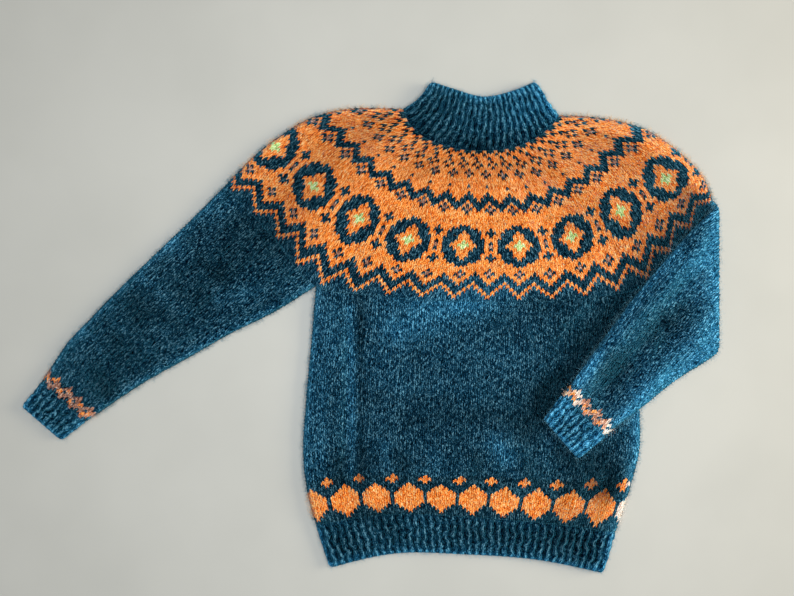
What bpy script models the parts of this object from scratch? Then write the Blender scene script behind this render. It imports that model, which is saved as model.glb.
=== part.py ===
"""Child's nordic yoke sweater, laid flat, with one sleeve folded over onto the front.

The garment is knitted in the round, so every stretch of it is a tube of cloth that lies flattened: a front layer on
a back layer, joined by a rounded fold at each side.  Each tube is lofted through rings.  A ring starts as a path
across the front of the garment, from one side fold to the other, and its cloth is a wall round that path.

Metres, +Z up, +Y towards the neck.  The origin is on the underside, below the middle of the chest.
"""
import math

import bmesh
import bpy
import numpy as np

# ------------------------------------------------------------------ driving dimensions
WALL = 0.0030                # thickness of the knitted cloth
COLLAR_WALL = 0.0052         # the collar is doubled and sewn down
SEAM_GAP = 0.0003            # between two solids that meet at a seam
LOOSE_TOP = 0.0084           # height of the front layer where nothing presses it
PRESSED_TOP = 0.0070         # height of the front layer below the folded sleeve
RIB_TOP = 0.0080             # height of a rib's valleys in the hem and cuffs
COLLAR_BASE_TOP = 0.0092
COLLAR_TOP = 0.0122
EDGE_ROUND = 0.0060          # how far in from a side fold the cloth rounds over
EDGE_PUFF = 0.0011           # the cloth stands a little fuller just inside a side fold
PUFF_PLACE = 0.016           # distance of that fullness from the fold
PUFF_WIDTH = 0.014
RIB_RISE = 0.0012            # knit ribs stand this far above their valleys

# ribs that show on the front of each ribbed piece, and points to a rib
HEM_RIBS = 40
CUFF_RIBS = 9
COLLAR_RIBS = 24
POINTS_PER_RIB = 3

# steps across the front between the side folds
ARM_STEPS = 8
BODY_STEPS = 20

# angles at which a side fold's rounding is cut, from the tip to the flat
FOLD_ANGLES = tuple(math.radians(angle) for angle in (0, 30, 60, 90))

# the rounded rim of a free edge: distance from the edge, and share of the wall's thickness there
RIM = ((0.0040, 1.0), (0.0015, 0.85), (0.0, 0.45))
COLLAR_RIM = ((0.0090, 1.0), (0.0040, 0.9), (0.0014, 0.66), (0.0, 0.32))

# ------------------------------------------------------------------ rings of the yoke, neck to base
# columns: left fold, left arm, left underarm, left chest, middle, right chest, right underarm, right arm, right fold
YOKE_RINGS = {
    "neck": ((-0.079, 0.324), (-0.075, 0.312), (-0.065, 0.299), (-0.038, 0.284), (0.007, 0.277),
             (0.051, 0.283), (0.076, 0.296), (0.087, 0.306), (0.095, 0.317)),
    "dots": ((-0.132, 0.325), (-0.120, 0.306), (-0.097, 0.281), (-0.052, 0.258), (0.007, 0.250),
             (0.066, 0.253), (0.104, 0.272), (0.124, 0.292), (0.141, 0.314)),
    "upper zigzag": ((-0.173, 0.317), (-0.150, 0.296), (-0.120, 0.266), (-0.069, 0.234), (0.007, 0.221),
                     (0.079, 0.226), (0.129, 0.254), (0.156, 0.278), (0.185, 0.304)),
    "medallions": ((-0.226, 0.287), (-0.190, 0.248), (-0.151, 0.214), (-0.082, 0.180), (0.007, 0.171),
                   (0.096, 0.176), (0.152, 0.202), (0.195, 0.234), (0.241, 0.265)),
    "base": ((-0.278, 0.238), (-0.229, 0.187), (-0.176, 0.127), (-0.105, 0.116), (0.007, 0.109),
             (0.118, 0.113), (0.188, 0.127), (0.230, 0.172), (0.2665, 0.222)),
}
LEFT_UNDERARM = 2            # columns of the table above
RIGHT_UNDERARM = 6

# ------------------------------------------------------------------ rings of the body, below the underarms
# columns: left fold, left quarter, middle, right quarter, right fold
BODY_RINGS = {
    "chest": ((-0.181, 0.067), (-0.090, 0.058), (0.003, 0.053), (0.095, 0.056), (0.186, 0.067)),
    "waist": ((-0.187, 0.000), (-0.094, -0.004), (-0.001, -0.006), (0.092, -0.003), (0.185, 0.001)),
    "hip": ((-0.190, -0.067), (-0.096, -0.066), (-0.005, -0.068), (0.089, -0.068), (0.183, -0.064)),
    "band": ((-0.185, -0.106), (-0.095, -0.097), (-0.006, -0.100), (0.084, -0.105), (0.171, -0.108)),
    "rib top": ((-0.176, -0.139), (-0.092, -0.127), (-0.006, -0.130), (0.078, -0.137), (0.158, -0.147)),
}
HEM_RINGS = {
    "middle": ((-0.168, -0.163), (-0.090, -0.149), (-0.008, -0.151), (0.074, -0.158), (0.152, -0.170)),
    "edge": ((-0.160, -0.187), (-0.088, -0.171), (-0.010, -0.172), (0.070, -0.178), (0.144, -0.193)),
}

# ------------------------------------------------------------------ rings of the collar, above the neck
# columns: left fold, left quarter, middle, right quarter, right fold
COLLAR_RINGS = {
    "roll": ((-0.066, 0.331), (-0.042, 0.306), (0.009, 0.296), (0.058, 0.305), (0.086, 0.327)),
    "upper": ((-0.056, 0.341), (-0.033, 0.325), (0.010, 0.315), (0.053, 0.324), (0.077, 0.340)),
    "edge": ((-0.048, 0.354), (-0.024, 0.346), (0.011, 0.337), (0.044, 0.344), (0.068, 0.354)),
}

# ------------------------------------------------------------------ rings of the sleeves
# columns: fold along the top of the arm, fold along its underside
LEFT_SLEEVE_RINGS = {
    "upper arm": ((-0.305, 0.211), (-0.219, 0.100)),
    "biceps": ((-0.346, 0.171), (-0.271, 0.074)),
    "elbow": ((-0.389, 0.130), (-0.322, 0.045)),
    "forearm": ((-0.428, 0.090), (-0.370, 0.018)),
    "lower arm": ((-0.454, 0.062), (-0.399, -0.001)),
    "band": ((-0.471, 0.037), (-0.416, -0.013)),
    "cuff": ((-0.481, 0.021), (-0.433, -0.024)),
}
LEFT_CUFF_END = ((-0.504, -0.007), (-0.460, -0.045))

# the other sleeve runs out to a fold along Y, rolls over it and comes back over the front
FOLD_AXIS_X = 0.2648
FOLD_AXIS_Z = PRESSED_TOP + 0.0002
FLAP_REST = 2.0 * FOLD_AXIS_Z - PRESSED_TOP      # underside of the folded-over stretch
FLAP_LOFT = 0.0078                               # thickness of the folded-over stretch
FLAP_SETTLES = 0.020                             # distance from the fold at which it has that thickness
FOLD_START = ((FOLD_AXIS_X, 0.216), (FOLD_AXIS_X, 0.060))
FOLD_END = ((FOLD_AXIS_X, 0.212), (FOLD_AXIS_X, 0.050))
UNDER_RINGS = 5
ROLL_STEPS = 8
FLAP_RINGS = {
    "upper arm": ((0.240, 0.189), (0.251, 0.040)),
    "biceps": ((0.209, 0.154), (0.230, 0.026)),
    "elbow": ((0.178, 0.117), (0.207, 0.010)),
    "forearm": ((0.150, 0.080), (0.187, -0.005)),
    "lower arm": ((0.127, 0.048), (0.170, -0.018)),
    "band": ((0.111, 0.025), (0.157, -0.028)),
    "cuff": ((0.097, 0.006), (0.144, -0.039)),
}
RIGHT_CUFF_END = ((0.076, -0.021), (0.1135, -0.064))

# the folded-over stretch sags where neither the body nor its own upper arm lies below it
SAG = 0.0046
SAG_RUN = 0.032              # distance over which it sags
BODY_SIDE_X = 0.188
UNDER_EDGE = ((0.188, 0.127), FOLD_START[1])

# the folded-over stretch presses the front layer below it flat
PRESS_AXIS = ((0.262, 0.140), (0.100, -0.036))
PRESS_HALF_WIDTHS = (0.090, 0.042)               # at the two ends of that axis
PRESS_RUN = 0.024

# ------------------------------------------------------------------ largest soft folds of the front
# columns: start, end, half width, rise (a trough is negative)
LYING_FOLDS = (
    ((-0.136, 0.092), (-0.141, -0.088), 0.013, -0.0011),
    ((-0.160, 0.096), (-0.166, -0.090), 0.012, 0.0008),
    ((0.004, 0.098), (-0.086, 0.066), 0.018, 0.0009),
    ((-0.060, 0.030), (0.058, 0.012), 0.026, -0.0008),
    ((-0.100, -0.052), (-0.030, -0.076), 0.016, 0.0008),
    ((-0.352, 0.132), (-0.300, 0.118), 0.012, -0.0010),
    ((-0.306, 0.150), (-0.246, 0.140), 0.012, 0.0008),
    ((-0.412, 0.066), (-0.374, 0.058), 0.010, -0.0008),
)
FLAP_FOLDS = (
    ((0.226, 0.108), (0.136, 0.000), 0.016, -0.0018),
    ((0.252, 0.176), (0.128, 0.030), 0.010, 0.0009),
    ((0.252, 0.084), (0.166, -0.010), 0.010, 0.0009),
)

# ------------------------------------------------------------------ yarn colours and finish
TEAL = (0.018, 0.085, 0.135, 1.0)
ORANGE = (0.80, 0.27, 0.075, 1.0)
WOOL_ROUGHNESS = 0.9


def smooth_through(knots, values, at):
    """Cubic curve through values at knots, with three-point slopes, read at other places."""
    knots = np.asarray(knots, float)
    values = np.asarray(values, float)
    at = np.clip(np.asarray(at, float), knots[0], knots[-1])
    shape = (-1,) + (1,) * (values.ndim - 1)
    steps = np.diff(knots).reshape(shape)
    chords = np.diff(values, axis=0) / steps
    slopes = np.empty_like(values)
    if len(knots) == 2:
        slopes[:] = chords[0]
    else:
        weights = steps[:-1] + steps[1:]
        slopes[1:-1] = (steps[1:] * chords[:-1] + steps[:-1] * chords[1:]) / weights
        slopes[0] = 1.5 * chords[0] - 0.5 * slopes[1]
        slopes[-1] = 1.5 * chords[-1] - 0.5 * slopes[-2]
    left = np.clip(np.searchsorted(knots, at, side="right") - 1, 0, len(knots) - 2)
    span = steps[left]
    t = (at.reshape(shape) - knots[left].reshape(shape)) / span
    start = values[left] * (2 * t**3 - 3 * t**2 + 1) + slopes[left] * span * (t**3 - 2 * t**2 + t)
    end = values[left + 1] * (3 * t**2 - 2 * t**3) + slopes[left + 1] * span * (t**3 - t**2)
    return start + end


def lengths_along(points):
    """Distance of each point of a polyline from its start."""
    points = np.asarray(points, float)
    return np.concatenate(([0.0], np.cumsum(np.linalg.norm(np.diff(points, axis=0), axis=1))))


def along_polyline(points, places):
    """Points at given distances along a polyline."""
    distance = lengths_along(points)
    points = np.asarray(points, float)
    return np.stack([np.interp(places, distance, points[:, axis]) for axis in (0, 1)], axis=1)


def curve_and_marks(controls, samples=240):
    """A smooth fine polyline through control points, and each control's share of its length."""
    marks = lengths_along(controls)
    fine = np.unique(np.concatenate((np.linspace(0.0, marks[-1], samples), marks)))
    points = smooth_through(marks, controls, fine)
    shares = lengths_along(points)
    return points, np.interp(marks, fine, shares / shares[-1])


def path_at(controls, shares):
    """Points on the smooth curve through control points, at shares of its length."""
    points, _ = curve_and_marks(controls)
    return along_polyline(points, np.asarray(shares) * lengths_along(points)[-1])


def straight(ends, steps):
    """Evenly spaced points from one side fold to the other."""
    return np.linspace(ends[0], ends[1], steps + 1)


def soft_step(x):
    """0 below 0, 1 above 1, smooth between."""
    x = np.clip(x, 0.0, 1.0)
    return x * x * (3.0 - 2.0 * x)


def distance_to_segment(x, y, start, end):
    """Distance of points from a segment, and their share of the way along it."""
    along = np.subtract(end, start)
    share = ((x - start[0]) * along[0] + (y - start[1]) * along[1]) / (along @ along)
    share = np.clip(share, 0.0, 1.0)
    return np.hypot(x - start[0] - share * along[0], y - start[1] - share * along[1]), share


def folds_rise(x, y, folds):
    """Height that the soft folds add."""
    rise = np.zeros(np.shape(x))
    for start, end, half_width, height in folds:
        distance, _ = distance_to_segment(x, y, start, end)
        rise = rise + height * np.exp(-(distance / half_width) ** 2)
    return rise


def edge_fullness(inset):
    """Height that the cloth gains at a distance in from a side fold."""
    return EDGE_PUFF * np.exp(-((inset - PUFF_PLACE) / PUFF_WIDTH) ** 2)


def lying_top(x, y, inset):
    """Height of the front layer of all that lies on the ground."""
    distance, share = distance_to_segment(x, y, *PRESS_AXIS)
    half_width = PRESS_HALF_WIDTHS[0] + (PRESS_HALF_WIDTHS[1] - PRESS_HALF_WIDTHS[0]) * share
    free = soft_step((distance - half_width) / PRESS_RUN)
    loose = LOOSE_TOP - PRESSED_TOP + edge_fullness(inset) + folds_rise(x, y, LYING_FOLDS)
    return PRESSED_TOP + free * loose


def flap_top(x, y, inset):
    """Height of the visible layer of the folded-over sleeve, before it sags."""
    settled = soft_step((FOLD_AXIS_X - x) / FLAP_SETTLES)
    rolled = 2.0 * FOLD_AXIS_Z
    loose = FLAP_REST + FLAP_LOFT - rolled + edge_fullness(inset) + folds_rise(x, y, FLAP_FOLDS)
    return rolled + settled * loose


def flap_sag(x, y):
    """How far the folded-over sleeve sags between the body and its own upper arm."""
    beside_body = x - BODY_SIDE_X
    start, end = np.array(UNDER_EDGE)
    along = (end - start) / np.linalg.norm(end - start)
    below_arm = (x - start[0]) * along[1] - (y - start[1]) * along[0]
    before_fold = soft_step((FOLD_AXIS_X - x) / SAG_RUN)
    return SAG * soft_step(np.minimum(beside_body, below_arm) / SAG_RUN) * before_fold


class Section:
    """The wall round one path: outer and inner loops, from the first fold over the front and back."""

    def __init__(self, path, top, rest=0.0, wall=WALL, skip=0, back_step=1, ribs=False):
        self.path = path
        self.top = top
        self.rest = rest
        self.wall = wall
        self.ribs = ribs
        self.knots = lengths_along(path)
        self.length = self.knots[-1]
        first = min(self.knots[1 + skip], self.length - self.knots[-2 - skip])
        self.round = min(EDGE_ROUND, 0.8 * first)
        inner_knots = np.arange(1 + skip, len(path) - 1 - skip)
        front = self._stations(inner_knots)
        back = self._stations([knot for knot in inner_knots if knot % back_step == 0])
        outer_front, inner_front = self._layer(front, True)
        outer_back, inner_back = self._layer(back[1:-1][::-1], False)
        self.outer = np.concatenate((outer_front, outer_back))
        self.inner = np.concatenate((inner_front, inner_back))

    def _stations(self, inner_knots):
        """Places across the section: distance, fold angle, +1 or -1 to the nearer fold, and relief share."""
        tip = [(self.round * (1.0 - math.cos(angle)), angle, 1.0, 0.0) for angle in FOLD_ANGLES]
        end = [(self.length - place, angle, -1.0, 0.0) for place, angle, _, _ in reversed(tip)]
        middle = [(self.knots[knot], math.pi / 2, 1.0, float(knot % POINTS_PER_RIB != 0)) for knot in inner_knots]
        return tip + middle + end

    def _layer(self, stations, is_front):
        """Outer and inner points of the front or the back layer."""
        place, angle, side, relief = np.array(stations).T
        spot = along_polyline(self.path, place)
        inner_spot = along_polyline(self.path, place + side * self.wall * np.cos(angle))
        top = self.top(spot[:, 0], spot[:, 1], np.minimum(place, self.length - place))
        middle = 0.5 * (top + self.rest)
        turn = np.sin(angle)
        if is_front:
            rib = RIB_RISE * relief if self.ribs else 0.0
            outer_z = middle + (top + rib - middle) * turn
            inner_z = middle + np.maximum(top - self.wall - middle, 0.0002) * turn
        else:
            outer_z = middle - (middle - self.rest) * turn
            inner_z = middle - np.maximum(middle - self.rest - self.wall, 0.0002) * turn
        return np.column_stack((spot, outer_z)), np.column_stack((inner_spot, inner_z))

    def loops(self, wall_share=1.0):
        """Outer and inner loops, the outer one drawn in where the wall thins at a rim."""
        return self.inner + wall_share * (self.outer - self.inner), self.inner


def rows_between(rows, places):
    """Paths at distances along a tube whose given rows lie in order along it."""
    rows = np.array(rows)
    steps = np.linalg.norm(np.diff(rows, axis=0), axis=2).mean(axis=1)
    marks = np.concatenate(([0.0], np.cumsum(steps)))
    return smooth_through(marks, rows, np.asarray(places) * marks[-1]), marks[-1]


def tube_length(rows):
    """Mean length of a tube along its rows."""
    return float(np.linalg.norm(np.diff(np.array(rows), axis=0), axis=2).mean(axis=1).sum())


def even_places(count):
    """Evenly spaced shares of a tube's length, both ends included."""
    return list(np.linspace(0.0, 1.0, count + 1))


def places_with_rim(rows, count, rim):
    """Evenly spaced shares of a tube's length up to its free rim, then the rim's own, with wall shares."""
    length = tube_length(rows)
    rim_start = 1.0 - rim[0][0] / length
    places = list(np.linspace(0.0, rim_start, count + 1))
    shares = [1.0] * len(places)
    for distance, share in rim[1:]:
        places.append(1.0 - distance / length)
        shares.append(share)
    return places, shares


def constant_top(height):
    """A top that is level all over."""
    return lambda x, y, inset: np.full(np.shape(x), height)


def loft(name, loops, colour, collection):
    """One closed solid through rings of outer and inner loops."""
    count = len(loops[0][0])
    mesh = bmesh.new()
    rings = []
    for outer, inner in loops:
        rings.append([[mesh.verts.new(point) for point in loop] for loop in (outer, inner)])
    for here, there in zip(rings, rings[1:]):
        for side in (0, 1):
            for i in range(count):
                j = (i + 1) % count
                mesh.faces.new((here[side][i], here[side][j], there[side][j], there[side][i]))
    for end in (rings[0], rings[-1]):
        for i in range(count):
            j = (i + 1) % count
            mesh.faces.new((end[0][i], end[0][j], end[1][j], end[1][i]))
    bmesh.ops.recalc_face_normals(mesh, faces=mesh.faces)
    data = bpy.data.meshes.new(name)
    mesh.to_mesh(data)
    mesh.free()
    data.shade_smooth()
    data.materials.append(wool(name, colour))
    piece = bpy.data.objects.new(name, data)
    collection.objects.link(piece)
    return piece


def wool(name, colour):
    """Material of one knitted piece."""
    material = bpy.data.materials.new(name + "_wool")
    material.use_nodes = True
    shader = material.node_tree.nodes["Principled BSDF"]
    shader.inputs["Base Color"].default_value = colour
    shader.inputs["Roughness"].default_value = WOOL_ROUGHNESS
    shader.inputs["Metallic"].default_value = 0.0
    material.diffuse_color = colour
    return material


def yoke_rows():
    """The yoke's rings, with a point on every step across, so that body and sleeves can meet the base."""
    _, marks = curve_and_marks(YOKE_RINGS["base"])
    left = marks[LEFT_UNDERARM]
    right = marks[RIGHT_UNDERARM]
    shares = np.concatenate((
        np.linspace(0.0, left, ARM_STEPS + 1)[:-1],
        np.linspace(left, right, BODY_STEPS + 1)[:-1],
        np.linspace(right, 1.0, ARM_STEPS + 1),
    ))
    return [path_at(ring, shares) for ring in YOKE_RINGS.values()]


def build_yoke(rows, collection):
    """Round yoke, from the neck to the base."""
    paths, _ = rows_between(rows, even_places(9))
    loops = [Section(path, lying_top).loops() for path in paths]
    loft("yoke", loops, ORANGE, collection)


def body_rows(base):
    """The body's rings: the part of the yoke's base between the underarms, then its own."""
    top = base[ARM_STEPS:ARM_STEPS + BODY_STEPS + 1] - (0.0, SEAM_GAP)
    top[0, 0] += 2.0 * SEAM_GAP
    top[-1, 0] -= 2.0 * SEAM_GAP
    shares = np.linspace(0.0, 1.0, BODY_STEPS + 1)
    return [top] + [path_at(ring, shares) for ring in BODY_RINGS.values()]


def build_body(rows, collection):
    """Tube from the underarms to the rib."""
    paths, _ = rows_between(rows, even_places(12))
    loops = [Section(path, lying_top).loops() for path in paths]
    loft("body", loops, TEAL, collection)
    return paths[-1]


def build_hem_rib(body_end, collection):
    """Ribbed welt below the body."""
    steps = HEM_RIBS * POINTS_PER_RIB
    shares = np.linspace(0.0, 1.0, steps + 1)
    top = along_polyline(body_end, shares * lengths_along(body_end)[-1]) - (0.0, SEAM_GAP)
    rows = [top] + [path_at(ring, shares) for ring in HEM_RINGS.values()]
    places, wall_shares = places_with_rim(rows, 2, RIM)
    paths, _ = rows_between(rows, places)
    loops = []
    for path, share in zip(paths, wall_shares):
        section = Section(path, constant_top(RIB_TOP), skip=2, back_step=6, ribs=True)
        loops.append(section.loops(share))
    loft("hem_rib", loops, TEAL, collection)


def build_collar(neck, collection):
    """Doubled ribbed collar above the yoke."""
    steps = COLLAR_RIBS * POINTS_PER_RIB
    shares = np.linspace(0.0, 1.0, steps + 1)
    base = along_polyline(neck, shares * lengths_along(neck)[-1]) + (0.0, SEAM_GAP)
    rows = [base] + [path_at(ring, shares) for ring in COLLAR_RINGS.values()]
    places, wall_shares = places_with_rim(rows, 4, COLLAR_RIM)
    paths, _ = rows_between(rows, places)
    loops = []
    for place, path, share in zip(places, paths, wall_shares):
        top = COLLAR_BASE_TOP + (COLLAR_TOP - COLLAR_BASE_TOP) * soft_step(place / 0.3)
        section = Section(path, constant_top(top), wall=COLLAR_WALL, skip=3, back_step=6, ribs=True)
        loops.append(section.loops(share))
    loft("collar", loops, TEAL, collection)


def build_cuff(name, start, end, rest, collection):
    """Ribbed cuff from a sleeve's last ring to its free edge."""
    steps = CUFF_RIBS * POINTS_PER_RIB
    start = np.array(start)
    end = np.array(end)
    along = end.mean(axis=0) - start.mean(axis=0)
    start = start + SEAM_GAP * along / np.linalg.norm(along)
    rows = [straight(start, steps), straight(end, steps)]
    places, wall_shares = places_with_rim(rows, 2, RIM)
    paths, _ = rows_between(rows, places)
    loops = []
    for path, share in zip(paths, wall_shares):
        section = Section(path, constant_top(rest + RIB_TOP), rest=rest, skip=2, back_step=6, ribs=True)
        loops.append(section.loops(share))
    loft(name, loops, TEAL, collection)


def build_left_sleeve(base, collection):
    """Sleeve that lies straight out from the yoke."""
    top = base[:ARM_STEPS + 1] + (-SEAM_GAP, -SEAM_GAP)
    top[-1] += (-SEAM_GAP, SEAM_GAP)
    rows = [top] + [straight(ends, ARM_STEPS) for ends in LEFT_SLEEVE_RINGS.values()]
    paths, _ = rows_between(rows, even_places(13))
    loops = [Section(path, lying_top).loops() for path in paths]
    loft("sleeve_left", loops, TEAL, collection)


def roll(points, angle):
    """Turn points about the fold's axis, from below it to above it."""
    across = points[:, 0] - FOLD_AXIS_X
    down = FOLD_AXIS_Z - points[:, 2]
    turned = points.copy()
    turned[:, 0] = FOLD_AXIS_X + across * math.cos(angle) + down * math.sin(angle)
    turned[:, 2] = FOLD_AXIS_Z + across * math.sin(angle) - down * math.cos(angle)
    return turned


def build_right_sleeve(base, collection):
    """Sleeve that runs out to the fold, rolls over it and lies back over the front.

    Its back layer is outside the roll, so on the folded-over stretch the back layer is the one that shows.
    """
    arm = base[ARM_STEPS + BODY_STEPS:][::-1] + (SEAM_GAP, -SEAM_GAP)
    arm[-1] += (SEAM_GAP, SEAM_GAP)
    fold_start = straight(FOLD_START, ARM_STEPS)
    fold_end = straight(FOLD_END, ARM_STEPS)
    loops = []
    for share in np.linspace(0.0, 1.0, UNDER_RINGS + 1):
        path = arm + share * (fold_start - arm)
        loops.append(Section(path, lying_top).loops())
    for step in range(1, ROLL_STEPS + 1):
        share = step / ROLL_STEPS
        path = fold_start + share * (fold_end - fold_start)
        section = Section(path, constant_top(PRESSED_TOP))
        loops.append(tuple(roll(loop, math.pi * share) for loop in section.loops()))
    rows = [fold_end] + [straight(ends, ARM_STEPS) for ends in FLAP_RINGS.values()]
    paths, _ = rows_between(rows, even_places(11))
    for path in paths[1:]:
        loops.append(tuple(map(folded_over, flap_section(path))))
    loft("sleeve_right", loops, TEAL, collection)


def flap_section(path):
    """Loops of the folded-over stretch, listed with the layer that rests on the body first."""
    section = Section(path, flap_top, rest=FLAP_REST)
    return tuple(swap_layers(loop) for loop in section.loops())


def swap_layers(loop):
    """Go round a loop from the same fold the other way."""
    return np.concatenate((loop[:1], loop[:0:-1]))


def folded_over(loop):
    """Let a loop of the folded-over stretch sag."""
    sagged = loop.copy()
    sagged[:, 2] -= flap_sag(loop[:, 0], loop[:, 1])
    return sagged


def main():
    for thing in list(bpy.data.objects):
        bpy.data.objects.remove(thing, do_unlink=True)
    collection = bpy.data.collections.new("Nordic yoke sweater")
    bpy.context.scene.collection.children.link(collection)
    rows = yoke_rows()
    neck, base = rows[0], rows[-1]
    build_yoke(rows, collection)
    build_collar(neck, collection)
    body_end = build_body(body_rows(base), collection)
    build_hem_rib(body_end, collection)
    build_left_sleeve(base, collection)
    build_cuff("cuff_left", LEFT_SLEEVE_RINGS["cuff"], LEFT_CUFF_END, 0.0, collection)
    build_right_sleeve(base, collection)
    build_cuff("cuff_right", FLAP_RINGS["cuff"], RIGHT_CUFF_END, FLAP_REST, collection)


main()
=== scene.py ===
"""Looks of the child's nordic yoke sweater, laid flat with one sleeve folded over onto the front.

Every stretch of the garment is a knitted tube: a thin closed shell whose outside is drawn stitch by stitch,
two legs to a stitch, and whose inside is plain.  The tubes follow the same rings as the solids of the frame.

Metres, +Z up, +Y towards the neck.
"""
import functools
import math

import bpy
import numpy as np
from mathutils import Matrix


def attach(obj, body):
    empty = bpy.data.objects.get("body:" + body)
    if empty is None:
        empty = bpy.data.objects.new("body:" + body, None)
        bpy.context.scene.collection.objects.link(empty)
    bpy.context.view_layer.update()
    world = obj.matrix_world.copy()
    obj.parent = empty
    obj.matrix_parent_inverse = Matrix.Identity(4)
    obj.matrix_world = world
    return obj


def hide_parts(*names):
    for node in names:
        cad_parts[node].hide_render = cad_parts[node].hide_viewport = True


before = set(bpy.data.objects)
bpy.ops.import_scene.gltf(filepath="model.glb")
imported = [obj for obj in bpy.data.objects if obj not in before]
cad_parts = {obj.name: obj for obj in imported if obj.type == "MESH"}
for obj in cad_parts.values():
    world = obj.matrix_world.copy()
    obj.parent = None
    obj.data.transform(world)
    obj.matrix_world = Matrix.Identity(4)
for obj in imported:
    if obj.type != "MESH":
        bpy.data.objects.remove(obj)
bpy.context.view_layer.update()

MM = 1000                    # millimetres to the metre
TENTHS_OF_MM = 10000
HUNDREDTHS = 100


def metres(table):
    """Places, written in millimetres."""
    return np.array(table) / MM


def strokes(unit, table):
    """Folds or strokes of painted light and shade, written as start, end and half width in millimetres, and
    size in a unit.
    """
    return [((x1 / MM, y1 / MM), (x2 / MM, y2 / MM), half_width / MM, size / unit)
            for x1, y1, x2, y2, half_width, size in table]


# ---- sizes shared with the solids
WALL = 0.0030
COLLAR_WALL = 0.0052
LOOSE_TOP = 0.0084
PRESSED_TOP = 0.0070
RIB_TOP = 0.0082
COLLAR_BASE_TOP = 0.0092
COLLAR_TOP = 0.0124
EDGE_ROUND = 0.0060
EDGE_PUFF = 0.0011
PUFF_PLACE = 0.016
PUFF_WIDTH = 0.014
QUARTER_TURN = 0.0081        # length of cloth in the rounding from a fold's tip to the flat
RIM_DEPTH = 0.0040           # distance over which a free edge rounds off
COLLAR_RIM_DEPTH = 0.0090
RIM_LEFT = 0.35              # share of the wall's thickness left at the very edge

# rings of the yoke, neck to base; columns: left fold, left arm, left underarm, left chest, middle, right
# chest, right underarm, right arm, right fold; the marks are the knitted rows that lie on the rings
YOKE_MARKS = (0.0, 7.6, 15.7, 29.7, 47.0)
YOKE_RINGS = metres((
    ((-79, 324), (-75, 312), (-65, 299), (-38, 284), (7, 277), (51, 283), (76, 296), (87, 306), (95, 317)),
    ((-132, 325), (-120, 306), (-97, 281), (-52, 258), (7, 250), (66, 253), (104, 272), (124, 292),
     (141, 314)),
    ((-173, 317), (-150, 296), (-120, 266), (-69, 234), (7, 221), (79, 226), (129, 254), (156, 278),
     (185, 304)),
    ((-226, 287), (-190, 248), (-151, 214), (-82, 180), (7, 171), (96, 176), (152, 202), (195, 234),
     (241, 265)),
    ((-278, 238), (-229, 187), (-176, 127), (-105, 116), (7, 109), (118, 113), (188, 127), (230, 172),
     (266.5, 222)),
))
LEFT_UNDERARM = 2
RIGHT_UNDERARM = 6

# columns: left fold, left quarter, middle, right quarter, right fold
BODY_RINGS = metres((
    ((-181, 67), (-90, 58), (3, 53), (95, 56), (186, 67)),
    ((-187, 0), (-94, -4), (-1, -6), (92, -3), (185, 1)),
    ((-190, -67), (-96, -66), (-5, -68), (89, -68), (183, -64)),
    ((-185, -106), (-95, -97), (-6, -100), (84, -105), (171, -108)),
    ((-176, -139), (-92, -127), (-6, -130), (78, -137), (158, -147)),
))
HEM_RINGS = metres((
    ((-168, -163), (-90, -149), (-8, -151), (74, -158), (152, -170)),
    ((-160, -187), (-88, -171), (-10, -172), (70, -178), (144, -193)),
))
COLLAR_RINGS = metres((
    ((-66, 331), (-42, 306), (9, 296), (58, 305), (86, 327)),
    ((-56, 341), (-33, 325), (10, 315), (53, 324), (77, 340)),
    ((-48, 354), (-24, 346), (11, 337), (44, 344), (68, 354)),
))

# columns: fold along the top of the arm, fold along its underside
LEFT_SLEEVE_RINGS = metres((
    ((-305, 211), (-219, 100)), ((-346, 171), (-271, 74)), ((-389, 130), (-322, 45)),
    ((-428, 90), (-370, 18)), ((-454, 62), (-399, -1)), ((-471, 37), (-416, -13)),
    ((-481, 21), (-433, -24)),
))
LEFT_CUFF_END = metres(((-504, -7), (-460, -45)))

# the other sleeve runs out to a fold along Y, rolls over it and comes back over the front
FOLD_AXIS_X = 0.2648
FOLD_AXIS_Z = PRESSED_TOP + 0.0002      # so the sleeve comes back just above itself
FLAP_REST = 2.0 * FOLD_AXIS_Z - PRESSED_TOP
FLAP_LOFT = 0.0078
FLAP_SETTLES = 0.020
FLAP_CLEARANCE = 0.0010      # room for the stitches of what lies below the folded-over stretch
CLEARANCE_RUN = 0.008        # distance from the fold over which it gets that room
ROLL_LENGTH = math.pi * 0.5 * FOLD_AXIS_Z
FOLD_START = ((FOLD_AXIS_X, 0.216), (FOLD_AXIS_X, 0.060))
FOLD_END = ((FOLD_AXIS_X, 0.212), (FOLD_AXIS_X, 0.050))
FLAP_RINGS = metres((
    ((240, 189), (251, 40)), ((209, 154), (230, 26)), ((178, 117), (207, 10)), ((150, 80), (187, -5)),
    ((127, 48), (170, -18)), ((111, 25), (157, -28)), ((97, 6), (144, -39)),
))
RIGHT_CUFF_END = metres(((76, -21), (113.5, -64)))
SAG = 0.0046
SAG_RUN = 0.032
BODY_SIDE_X = 0.188
UNDER_EDGE = ((0.188, 0.127), FOLD_START[1])
PRESS_AXIS = ((0.262, 0.140), (0.100, -0.036))
PRESS_HALF_WIDTHS = (0.090, 0.042)
PRESS_RUN = 0.024

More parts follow.
